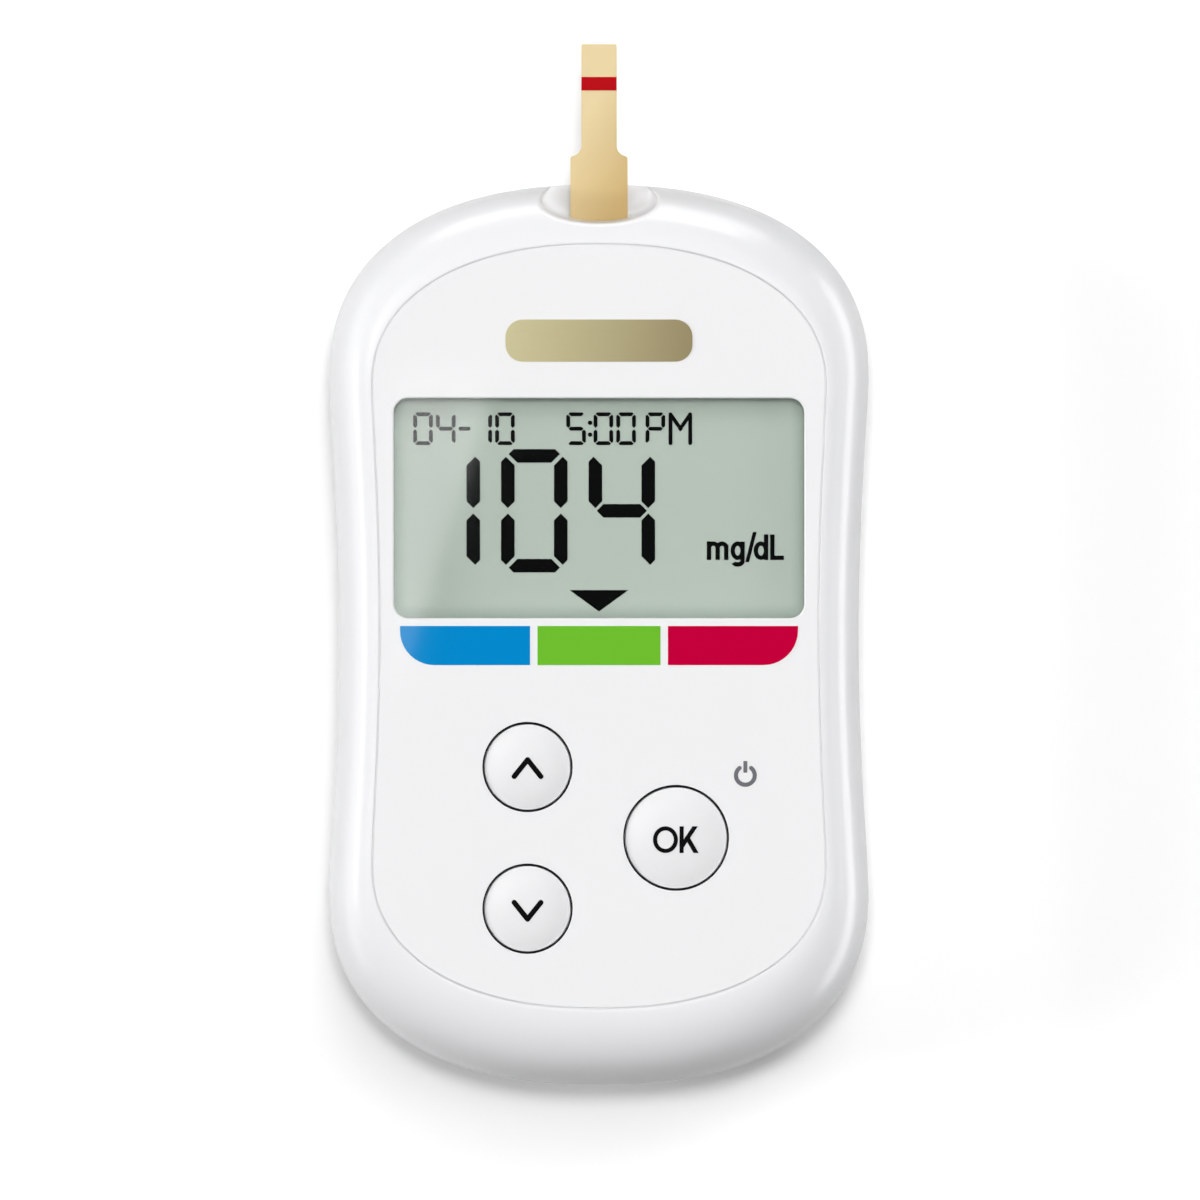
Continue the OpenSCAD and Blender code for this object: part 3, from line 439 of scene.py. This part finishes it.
finish("reflector_film", (0.78, 0.79, 0.78), 0.35, metallic=1.0, stretch=(1, 30, 1))
finish("display_black", (0.001, 0.001, 0.001), 0.6, depth=0.03, Specular_IOR_Level=0.0,
       Coat_Weight=1.0, Coat_Roughness=0.025)
finish("frame_grey", (0.72, 0.72, 0.72), 0.5, depth=0.15)
finish("zebra_rubber", (0.2, 0.2, 0.21), 0.7, mottle=0.5, mottle_scale=400, stretch=(12, 1, 1), depth=0.2)
finish("print_black", (0.002, 0.002, 0.002), 0.5, mottle=0.2, mottle_scale=1500, depth=0.06, Specular_IOR_Level=0.1)
finish("print_grey", srgb("6E6F74"), 0.5, mottle=0.05, mottle_scale=1500, depth=0.06, Specular_IOR_Level=0.2)
for name, code in (("print_blue", "0388CC"), ("print_green", "6EBE2F"), ("print_red", "C4003A")):
    finish(name, srgb(code), 0.5, mottle=0.02, mottle_scale=1200, depth=0.05, Specular_IOR_Level=0.0,
           Coat_Weight=0.5, Coat_Roughness=0.025)
finish("seal_black", (0.006, 0.006, 0.007), 0.75, mottle=0.2, depth=0.2)
finish("spring_steel", (0.72, 0.72, 0.74), 0.22, metallic=1.0, stretch=(1, 20, 1))
finish("board_green", (0.02, 0.16, 0.07), 0.35, mottle=0.25, mottle_scale=260, depth=0.1)
finish("chip_black", (0.02, 0.02, 0.022), 0.55, mottle=0.2, depth=0.3)
finish("can_steel", (0.6, 0.6, 0.62), 0.3, metallic=1.0, stretch=(1, 25, 1))
finish("ceramic_tan", (0.5, 0.38, 0.25), 0.5, mottle=0.2, mottle_scale=700, depth=0.2)
finish("connector_black", (0.03, 0.03, 0.032), 0.5, mottle=0.15, depth=0.2)
finish("contact_gold", (0.9, 0.62, 0.25), 0.2, metallic=1.0, stretch=(1, 20, 1))
finish("strip_gold", srgb("E8D3A2"), 0.42, mottle=0.02, mottle_scale=160, grain=3000, depth=0.06)
finish("band_red", srgb("B8000F"), 0.5, mottle=0.04, mottle_scale=900, depth=0.05, Specular_IOR_Level=0.1)
finish("cell_steel", (0.75, 0.75, 0.76), 0.25, metallic=1.0, stretch=(1, 30, 1))
finish("holder_black", (0.03, 0.03, 0.035), 0.5, mottle=0.15, depth=0.25)
finish("tab_film", (0.75, 0.72, 0.55), 0.3, mottle=0.03, depth=0.05, Alpha=0.75)
finish("screw_steel", (0.62, 0.62, 0.64), 0.3, metallic=1.0, mottle=0.1, mottle_scale=900)
finish("badge_gold", srgb("D2C99C"), 0.35, mottle=0.03, mottle_scale=400, stretch=(1, 25, 1), metallic=0.2)
finish("label_paper", (0.78, 0.78, 0.77), 0.6, mottle=0.02, mottle_scale=1200, depth=0.2)

# Painted shade: the display runs darker towards its sides and bottom edge; its top edge is left out, where the recess
# casts real shade.
painted_edge_shade("display_grey", (VIEW[0], VIEW[1] + 0.8, VIEW[2], VIEW[3] + 1.6), 1.6, srgb("AAB8AD"))
# Painted shade: the case runs greyer inside the strip scoop's hollow.
painted_hollow_shade("case_white", (SCOOP[0], SCOOP[1], 11.5), (SCOOP[2], SCOOP[3], 4), (0.72, 0.722, 0.73))
# Painted shade: the badge runs from lighter on the left to darker on the right.
painted_shade_along("badge_gold", (1, -0.1, 0), -12, 9, srgb("8F8058"))
# Painted shade: the strip runs darker towards its right side and towards the scoop's lip.
painted_shade_along("strip_gold", (1.5, -1, 0), -52, -38, srgb("C8A96C"))
striped("zebra_rubber", 0.2, "X", 0.5, (0.6, 0.6, 0.58))
traces = added("board_green", "ShaderNodeTexBrick", Scale=300, Mortar_Size=0.03)
blended("board_green", traces.outputs["Fac"], (0.05, 0.3, 0.12))
vias = added("board_green", "ShaderNodeTexVoronoi", Scale=420)
blended("board_green", stepped("board_green", vias.outputs["Distance"], 0.11, 0.09), (0.75, 0.6, 0.3))

for entry in frame["record"]["subparts"]:
    shape = nodes[entry["node"]].data
    shape.materials.clear()
    shape.materials.append(FINISHES[entry["material_slot"]])


# ---- Case ----

def front_shell():
    inner = [front_ring(z, WALL) for z in (CEILING, mix(CEILING, GROOVE_Z, 0.2), mix(CEILING, GROOVE_Z, 0.5), GROOVE_Z)]
    rim_inset = WALL - LIP_T - 0.1
    rim = [front_ring(GROOVE_Z, rim_inset), front_ring(PARTING, rim_inset), front_ring(PARTING, EDGE)]
    outer = [front_ring(PARTING + EDGE)] + [
        front_ring(PARTING + (BODY_T - PARTING) * share) for share in ring_shares()
        if (BODY_T - PARTING) * share > 2 * EDGE]
    lip = [level(section(1, -PLATE_GAP - FINE_EDGE * (1 - math.sin(a))), BODY_T - FINE_EDGE * (1 - math.cos(a)))
           for a in (0, math.pi / 6, math.pi / 3, math.pi / 2)]
    pocket = [level(section(1, -PLATE_GAP), PLATE_Z)]
    shell = loft("front_shell_skin", inner + rim + outer + lip + pocket)
    x, y, rx, ry = SCOOP
    walls = block("scoop_walls", (-rx - WALL, y - ry - WALL, GROOVE_Z), (rx + WALL, BODY["top"], CEILING + 0.3))
    combine(walls, loft("walls_limit", [front_ring(PARTING + 0.4, 0.4)] + [
        front_ring(PARTING + (BODY_T - PARTING) * share, 0.4) for share in (0.2, 0.4, 0.6, 0.7, 0.8, 0.9)]),
        "INTERSECT")
    combine(shell, walls, "UNION")
    for name, (kx, ky, r) in KEYS.items():
        combine(shell, slab("hole", circle(kx, ky, r + 0.3), CEILING - 1, PLATE_Z + 1))
        combine(shell, slab("seal_seat", circle(kx, ky, r + 1), PLATE_Z - 0.6, PLATE_Z + 1))
    vx, vy, w, h, r = VIEW
    combine(shell, slab("view", rounded(vx, vy, w + 0.2, h + 0.2, r), CEILING - 1, PLATE_Z + 1))
    rim_w = 2 * (WINDOW_RIM + 0.05)
    combine(shell, slab("seat", rounded(vx, vy, w + rim_w, h + rim_w, r + rim_w / 2), WINDOW_Z[0], PLATE_Z + 1))
    combine(shell, scoop_bowl())
    combine(shell, block("slot", (-3, y - ry - WALL - 1.7, STRIP_Z - SLOT_ROOM),
                         (3, y, STRIP_Z + STRIP_T + SLOT_ROOM)))
    finished(shell, "case", "case_white", "front_shell", angle=38)


def scoop_bowl():
    """The scoop's form: a flared lip that follows the shoulder, then a wall that turns into the floor."""
    x, y, rx, ry = SCOOP
    count = 96
    foot = SCOOP_Z + 0.3

    def lip_point(a, out, drop):
        px, py = x + rx * math.cos(a), y + ry * math.sin(a)
        nx, ny = math.cos(a) / rx, math.sin(a) / ry
        size = math.hypot(nx, ny)
        px, py = px + nx / size * out, py + ny / size * out
        return px, py, max(shoulder_z(px, py), foot) - drop

    turns = [2 * math.pi * i / count for i in range(count)]
    flare = [lip_point(a, 1.5 * SCOOP_LIP, -0.015) for a in turns]
    rings = [[(px, py, BODY_T + 2) for px, py, _ in flare], flare]
    for bend in (4, 14, 26, 38, 50, 64, 78, 90):
        b = math.radians(bend)
        rings.append([lip_point(a, SCOOP_LIP * (1 - math.sin(b)), SCOOP_LIP * (1 - math.cos(b))) for a in turns])
    top = rings[-1]
    for share in (0.998, 0.99, 0.975, 0.95, 0.91, 0.86, 0.78, 0.66, 0.5, 0.3, 0.1):
        depth = 1 - (1 - share ** 5) ** (1 / 5)
        rings.append([(mix(x, px, share), mix(y, py, share), mix(SCOOP_Z, pz, depth)) for px, py, pz in top])
    return loft("scoop_bowl", rings)


def rear_shell():
    outer = [back_ring(PARTING * (1 - share)) for share in reversed(ring_shares()) if PARTING * share > 2 * EDGE]
    base = [level(section(0, BACK_INSET), 0)]
    rim = [back_ring(PARTING - EDGE), back_ring(PARTING, EDGE), back_ring(PARTING, WALL - LIP_T),
           level(section(0, WALL - LIP_T), LIP_Z), level(section(0, WALL), LIP_Z)]
    inner = [back_ring(mix(PARTING, WALL, share), WALL) for share in (0.4, 0.7, 0.9, 1)]
    shell = loft("rear_shell_skin", base + outer + rim + inner)
    for sx, sy in SCREWS:
        combine(shell, slab("boss", circle(sx, sy, 3, 48), WALL / 2, 7.8), "UNION")
    bay = slab("bay", section(0, BACK_INSET * drawn_in((PARTING - WALL) / PARTING) + 0.9), WALL / 2, BAY_TOP)
    bay_half = DOOR_HALF + TONGUE + 1.4
    combine(bay, block("bay_limit", (-bay_half, BODY["bottom"], 0), (bay_half, DOOR_Y + 1.6, BAY_TOP + 1)), "INTERSECT")
    combine(shell, bay, "UNION")
    half, head_end = DOOR_HALF + DOOR_ROOM, DOOR_Y + DOOR_ROOM
    combine(shell, block("door", (-half, BODY["bottom"] - 1, -1), (half, head_end, DOOR_T + DOOR_ROOM)))
    combine(shell, block("tongues", (-half - TONGUE, BODY["bottom"] - 1, DOOR_T / 2 - DOOR_ROOM),
                         (half + TONGUE, head_end, DOOR_T + DOOR_ROOM)))
    combine(shell, block("rib", (-3.15, BODY["bottom"] - 1, DOOR_T), (3.15, BODY["bottom"] + 7.3, DOOR_T + 0.5)))
    combine(shell, slab("cell", circle(*CELL), 0, BAY_TOP + 1))
    for sx, sy in SCREWS:
        combine(shell, slab("head", circle(sx, sy, SCREW_HEAD, 48), -1, 3))
        combine(shell, slab("shank", circle(sx, sy, SCREW_SHANK, 32), -1, 9.8))
    combine(shell, socket_opening())
    combine(shell, slab("label", rounded(0, 15.5, 30.4, 20.4, 1.7), -1, 0.15))
    finished(shell, "case", "case_white", "rear_shell", angle=38)


def socket_opening():
    """The data socket's opening through the bottom end, round at its sides."""
    low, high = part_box("usb_socket")
    x, z = high.x / MM + 0.15, (low.z / MM + 0.05, high.z / MM - 0.3)
    middle, half = (z[0] + z[1]) / 2, (z[1] - z[0]) / 2
    outline = rounded(0, middle, 2 * x, 2 * half, half * 0.9)
    return loft("socket", [[(px, BODY["bottom"] - 1, pz) for px, pz in outline],
                           [(px, low.y / MM, pz) for px, pz in outline]])


def faceplate():
    seam_z = BODY_T - SEAM_DEPTH
    plate = loft("faceplate_skin", [
        level(section(1, -PLATE_GAP + 0.01), PLATE_Z), level(section(1, -PLATE_GAP + 0.01), seam_z),
        level(section(1), seam_z), level(section(1), BODY_T)])
    vx, vy, w, h, r = VIEW
    combine(plate, slab("view", rounded(vx, vy, w, h, r), PLATE_Z - 1, BODY_T + 1))
    for kx, ky, r in KEYS.values():
        combine(plate, slab("hole", circle(kx, ky, r + KEY_ROOM), PLATE_Z - 1, BODY_T + 1))
    top_edge = sharp_at(BODY_T)

    def round_view(edge):
        return top_edge(edge) and all(abs(v.co.x) < w / 2 + 0.1 and abs(v.co.y - vy) < h / 2 + 0.1 for v in edge.verts)

    soften(plate, round_view, VIEW_EDGE)
    soften(plate, top_edge, FINE_EDGE, 2)
    finished(plate, "case", "plate_white", "faceplate")


def keys():
    """Stem, holding flange and a cap whose top is a little crowned and rolls over at its edge."""
    edge = 0.06
    stem, foot = KEY_STEM
    reach, under, over = KEY_FLANGE
    turn = KEY_TOP_Z - KEY_CROWN - KEY_EDGE_Z
    for name, (x, y, r) in KEYS.items():
        top = r - edge
        profile = [(stem, foot), (stem, under), (r + reach, under), (r + reach, over), (r, over),
                   (r, KEY_EDGE_Z - 2 * edge)]
        profile += [(r - edge * (1 - math.cos(a)), KEY_EDGE_Z - 2 * edge + 2 * edge * math.sin(a))
                    for a in (math.pi / 8, math.pi / 4, 3 * math.pi / 8)]
        profile += [(top * t, KEY_TOP_Z - KEY_CROWN * t ** 2 - turn * t ** 5)
                    for t in (i / 20 for i in range(20, 0, -1))]
        piece = loft(name + "_cap", [level(circle(x, y, size), z) for size, z in profile])
        finished(piece, name, "key_white", name)


def window():
    x, y, w, h, r = VIEW
    pane = slab("window_pane", rounded(x, y, w + 2 * WINDOW_RIM, h + 2 * WINDOW_RIM, r + WINDOW_RIM), *WINDOW_Z)
    soften(pane, sharp_at(*WINDOW_Z), 0.1, 2)
    finished(pane, "case", "clear_window", "display_window")


def battery_door():
    rows = [level(section(0, BACK_INSET), 0)] + [
        back_ring(PARTING * (1 - share)) for share in reversed(ring_shares()) if PARTING * (1 - share) < 2.5]
    door = block("battery_door_skin", (-DOOR_HALF, BODY["bottom"], 0), (DOOR_HALF, DOOR_Y, DOOR_T))
    tongues = block("tongues", (-DOOR_HALF - TONGUE, BODY["bottom"], DOOR_T / 2), (DOOR_HALF + TONGUE, DOOR_Y, DOOR_T))
    combine(door, tongues, "UNION")
    combine(door, loft("door_limit", rows), "INTERSECT")
    for i in range(5):
        y = BODY["bottom"] + 7.6 + 1.6 * i
        combine(door, slab("grip", rounded(0, y + 0.4, 10, 0.8, 0.38), -1, 0.35))
    combine(door, block("rib", (-3, BODY["bottom"] + 5.2, DOOR_T - 0.05), (3, BODY["bottom"] + 6.2, DOOR_T + 0.35)),
            "UNION")
    finished(door, "door", "case_white", "battery_door")


def strip():
    low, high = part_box("test_strip")
    inner, tip_y = low.y / MM, high.y / MM
    half, tip = high.x / MM, STRIP_TIP
    wide_y, notch, corner = BODY["top"] + 2.75, 1.0, 0.25
    side = [(half, inner)]
    side += [(half - corner + corner * math.cos(a), wide_y - corner + corner * math.sin(a))
             for a in (math.pi / 2 * i / 6 for i in range(7))]
    side += [(tip + notch + notch * math.cos(a), wide_y + notch + notch * math.sin(a))
             for a in (math.radians(270 - 6 * i) for i in range(16))]
    side += [(tip, tip_y - 0.15), (tip - 0.04, tip_y - 0.04), (tip - 0.15, tip_y)]
    outline = side + [(-x, y) for x, y in reversed(side)]
    piece = slab("strip_laminate", outline, STRIP_Z, STRIP_Z + STRIP_T)
    soften(piece, sharp_at(STRIP_Z, STRIP_Z + STRIP_T), 0.06, 2)
    finished(piece, "strip", "strip_gold", "test_strip")


def power_mark():
    """A ring open at the top, with round ends, and a bar in the opening."""
    low, high = (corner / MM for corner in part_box("power_mark"))
    radius, half = (high.x - low.x) / 2, MARK_STROKE / 2
    x, y = (low.x + high.x) / 2, low.y + radius
    start, end = math.radians(90 + MARK_OPEN), math.radians(450 - MARK_OPEN)

    def arc(r, first, last, steps):
        turns = [mix(first, last, i / steps) for i in range(steps + 1)]
        return [(x + r * math.cos(a), y + r * math.sin(a)) for a in turns]

    def round_end(at, first):
        cx, cy = (radius - half) * math.cos(at), (radius - half) * math.sin(at)
        turns = [first + math.pi * i / 8 for i in range(1, 8)]
        return [(x + cx + half * math.cos(a), y + cy + half * math.sin(a)) for a in turns]

    outline = arc(radius, start, end, 60) + round_end(end, end)
    outline += arc(radius - MARK_STROKE, end, start, 60) + round_end(start, start - math.pi)
    mark = slab("power_ring", outline, low.z, high.z)
    foot = y + 0.26
    bar = slab("bar", rounded(x, (foot + high.y) / 2, 0.37, high.y - foot, 0.05, 4), low.z, high.z)
    alone(mark)
    bar.select_set(True)
    bpy.ops.object.join()
    finished(mark, "case", "print_grey", "power_mark")


def screws():
    x, y = SCREWS[0]
    rings = [(1.2, 1.5), (1.45, 1.58), (1.6, 1.85), (1.6, 3), (0.8, 3), (0.8, 12.4), (0.4, 12.8)]
    screw = loft("screw", [level(circle(x, y, r, 48), z) for r, z in rings])
    for turn in (0, 1):
        w, h = (0.2, 0.96) if turn else (0.96, 0.2)
        combine(screw, block("recess", (x - w, y - h, 1), (x + w, y + h, 2.4)))
    copies = []
    for sx, sy in SCREWS[1:]:
        copy = screw.copy()
        copy.data = screw.data.copy()
        copy.data.transform(Matrix.Translation((sx - x, sy - y, 0)))
        bpy.context.collection.objects.link(copy)
        copies.append(copy)
    alone(screw)
    for copy in copies:
        copy.select_set(True)
    bpy.ops.object.join()
    screw.name = screw.data.name = "screw_set"
    finished(screw, "case", "screw_steel", "case_screws")


front_shell()
rear_shell()
faceplate()
keys()
window()
battery_door()
strip()
power_mark()
screws()


# ---- Stage ----

FILL = 0.157
FLOOR_GLOW = 0.11
AWAY = 2.5
# Each box on the dome: its tilt from straight up, its turn, its size and its watts as if 1 m away
DOME = {
    "over": (8, 90, 0.16, 2.84),
    "over_wide": (14, 68, 0.32, 1.58),
    "top": (34, 78, 0.32, 1.62),
    "top_right": (54, 45, 0.32, 1.12),
    "right": (63, 0, 0.32, 1.58),
    "left": (72, 180, 0.32, 5.4),
    "left_gleam": (68, 180, 0.32, 1.5),
    "top_gleam": (72, 78, 0.32, 2.2),
    "key_gleam": (24, 150, 0.3, 1.6),
}
# Each low strip light: its place, its size and its watts
STRIPS = {
    "right_strip": ((0.046, 0, 0.009), (0.11, 0.012), 0.017),
    "left_strip": ((-0.056, 0, 0.013), (0.11, 0.014), 0.006),
    "top_strip": ((0, 0.085, 0.012), (0.08, 0.02), 0.021),
}


def area_light(name, place, aim, size, watts):
    lamp = bpy.data.lights.new(name, "AREA")
    lamp.shape = "RECTANGLE"
    lamp.size, lamp.size_y = size
    lamp.energy = watts
    holder = bpy.data.objects.new(name, lamp)
    bpy.context.scene.collection.objects.link(holder)
    look = (Vector(aim) - Vector(place)).to_track_quat("-Z", "Y").to_matrix().to_4x4()
    holder.matrix_world = Matrix.Translation(place) @ look
    holder.visible_camera = False
    return holder


def lights():
    """Soft boxes on a dome, of which the gleams only leave highlights, and low strips that do so too."""
    for name, (tilt, turn, size, watts) in DOME.items():
        lean, around = math.radians(tilt), math.radians(turn)
        way = Vector((math.sin(lean) * math.cos(around), math.sin(lean) * math.sin(around), math.cos(lean)))
        box = area_light(name, way * AWAY, (0, 0, 0.01), (size * AWAY, size * AWAY), watts * AWAY ** 2)
        if name.endswith("gleam"):
            box.visible_diffuse = False
        else:
            box.visible_glossy = False
    for name, (place, size, watts) in STRIPS.items():
        area_light(name, place, (0, 0, place[2]), size, watts).visible_diffuse = False


def plane(name, size, z):
    bpy.ops.object.select_all(action="DESELECT")
    bpy.ops.mesh.primitive_plane_add(size=size, location=(0, 0, z))
    piece = bpy.context.object
    piece.name = piece.data.name = name
    return piece


def seen_directly(tree):
    """A share that is 1 where the camera looks, straight or by way of gloss or glass."""
    path = tree.nodes.new("ShaderNodeLightPath")
    seen = path.outputs["Is Camera Ray"]
    for other in ("Is Glossy Ray", "Is Transmission Ray"):
        either = tree.nodes.new("ShaderNodeMath")
        either.operation = "MAXIMUM"
        tree.links.new(seen, either.inputs[0])
        tree.links.new(path.outputs[other], either.inputs[1])
        seen = either.outputs[0]
    return seen


def floor():
    ground = plane("floor", 6, -0.00002)
    material = bpy.data.materials.new("floor_white")
    material.use_nodes = True
    tree = material.node_tree
    new, link = tree.nodes.new, tree.links.new
    shader = tree.nodes["Principled BSDF"]
    shader.inputs["Roughness"].default_value = 0.9
    seen = seen_directly(tree)
    shade = new("ShaderNodeMix")
    shade.data_type = "RGBA"
    shade.inputs["A"].default_value = (0.18, 0.18, 0.18, 1)
    shade.inputs["B"].default_value = (0.98, 0.98, 0.98, 1)
    link(seen, shade.inputs["Factor"])
    link(shade.outputs["Result"], shader.inputs["Base Color"])
    glow = new("ShaderNodeMath")
    glow.operation = "MULTIPLY"
    glow.inputs[1].default_value = FLOOR_GLOW
    link(seen, glow.inputs[0])
    shader.inputs["Emission Color"].default_value = (1, 1, 1, 1)
    link(glow.outputs[0], shader.inputs["Emission Strength"])
    ground.data.materials.append(material)


def surroundings():
    """A white room with a dark ceiling, which lights the object only a little."""
    world = bpy.data.worlds.new("studio")
    bpy.context.scene.world = world
    world.use_nodes = True
    tree = world.node_tree
    new, link = tree.nodes.new, tree.links.new
    way = new("ShaderNodeTexCoord")
    up = new("ShaderNodeSeparateXYZ")
    link(way.outputs["Generated"], up.inputs[0])
    ceiling = new("ShaderNodeMapRange")
    for socket, value in (("From Min", 0.25), ("From Max", 0.8), ("To Min", 0.98), ("To Max", 0.02)):
        ceiling.inputs[socket].default_value = value
    link(up.outputs["Z"], ceiling.inputs["Value"])
    strength = new("ShaderNodeMix")
    strength.inputs["A"].default_value = FILL
    link(ceiling.outputs["Result"], strength.inputs["B"])
    link(seen_directly(tree), strength.inputs["Factor"])
    back = tree.nodes["Background"]
    back.inputs["Color"].default_value = (1, 1, 1, 1)
    link(strength.outputs["Result"], back.inputs["Strength"])


def camera():
    lens = bpy.data.cameras.new("camera")
    lens.type = "ORTHO"
    lens.ortho_scale = 0.1152
    holder = bpy.data.objects.new("camera", lens)
    holder.location = (0.000096, 0.003336, 0.5)
    bpy.context.scene.collection.objects.link(holder)
    bpy.context.scene.camera = holder


def glare_card():
    """A bright card far above, seen only in gloss: it leaves the slanting pale patch on the display's left."""
    card = plane("glare_card", 1, 0)
    corners = [(-20.2, -4), (-18.7, -4), (-19.5, 25), (-10, 25)]
    for vert, (x, y) in zip(card.data.vertices, corners):
        vert.co = (x * MM, y * MM, 0.8)
    material = bpy.data.materials.new("card_white")
    material.use_nodes = True
    shader = material.node_tree.nodes["Principled BSDF"]
    shader.inputs["Base Color"].default_value = (0, 0, 0, 1)
    shader.inputs["Emission Color"].default_value = (1, 1, 1, 1)
    shader.inputs["Emission Strength"].default_value = 4.0
    card.data.materials.append(material)
    card.visible_camera = card.visible_diffuse = card.visible_shadow = card.visible_transmission = False


floor()
surroundings()
glare_card()
camera()
lights()
bpy.context.scene.view_settings.view_transform = "Standard"
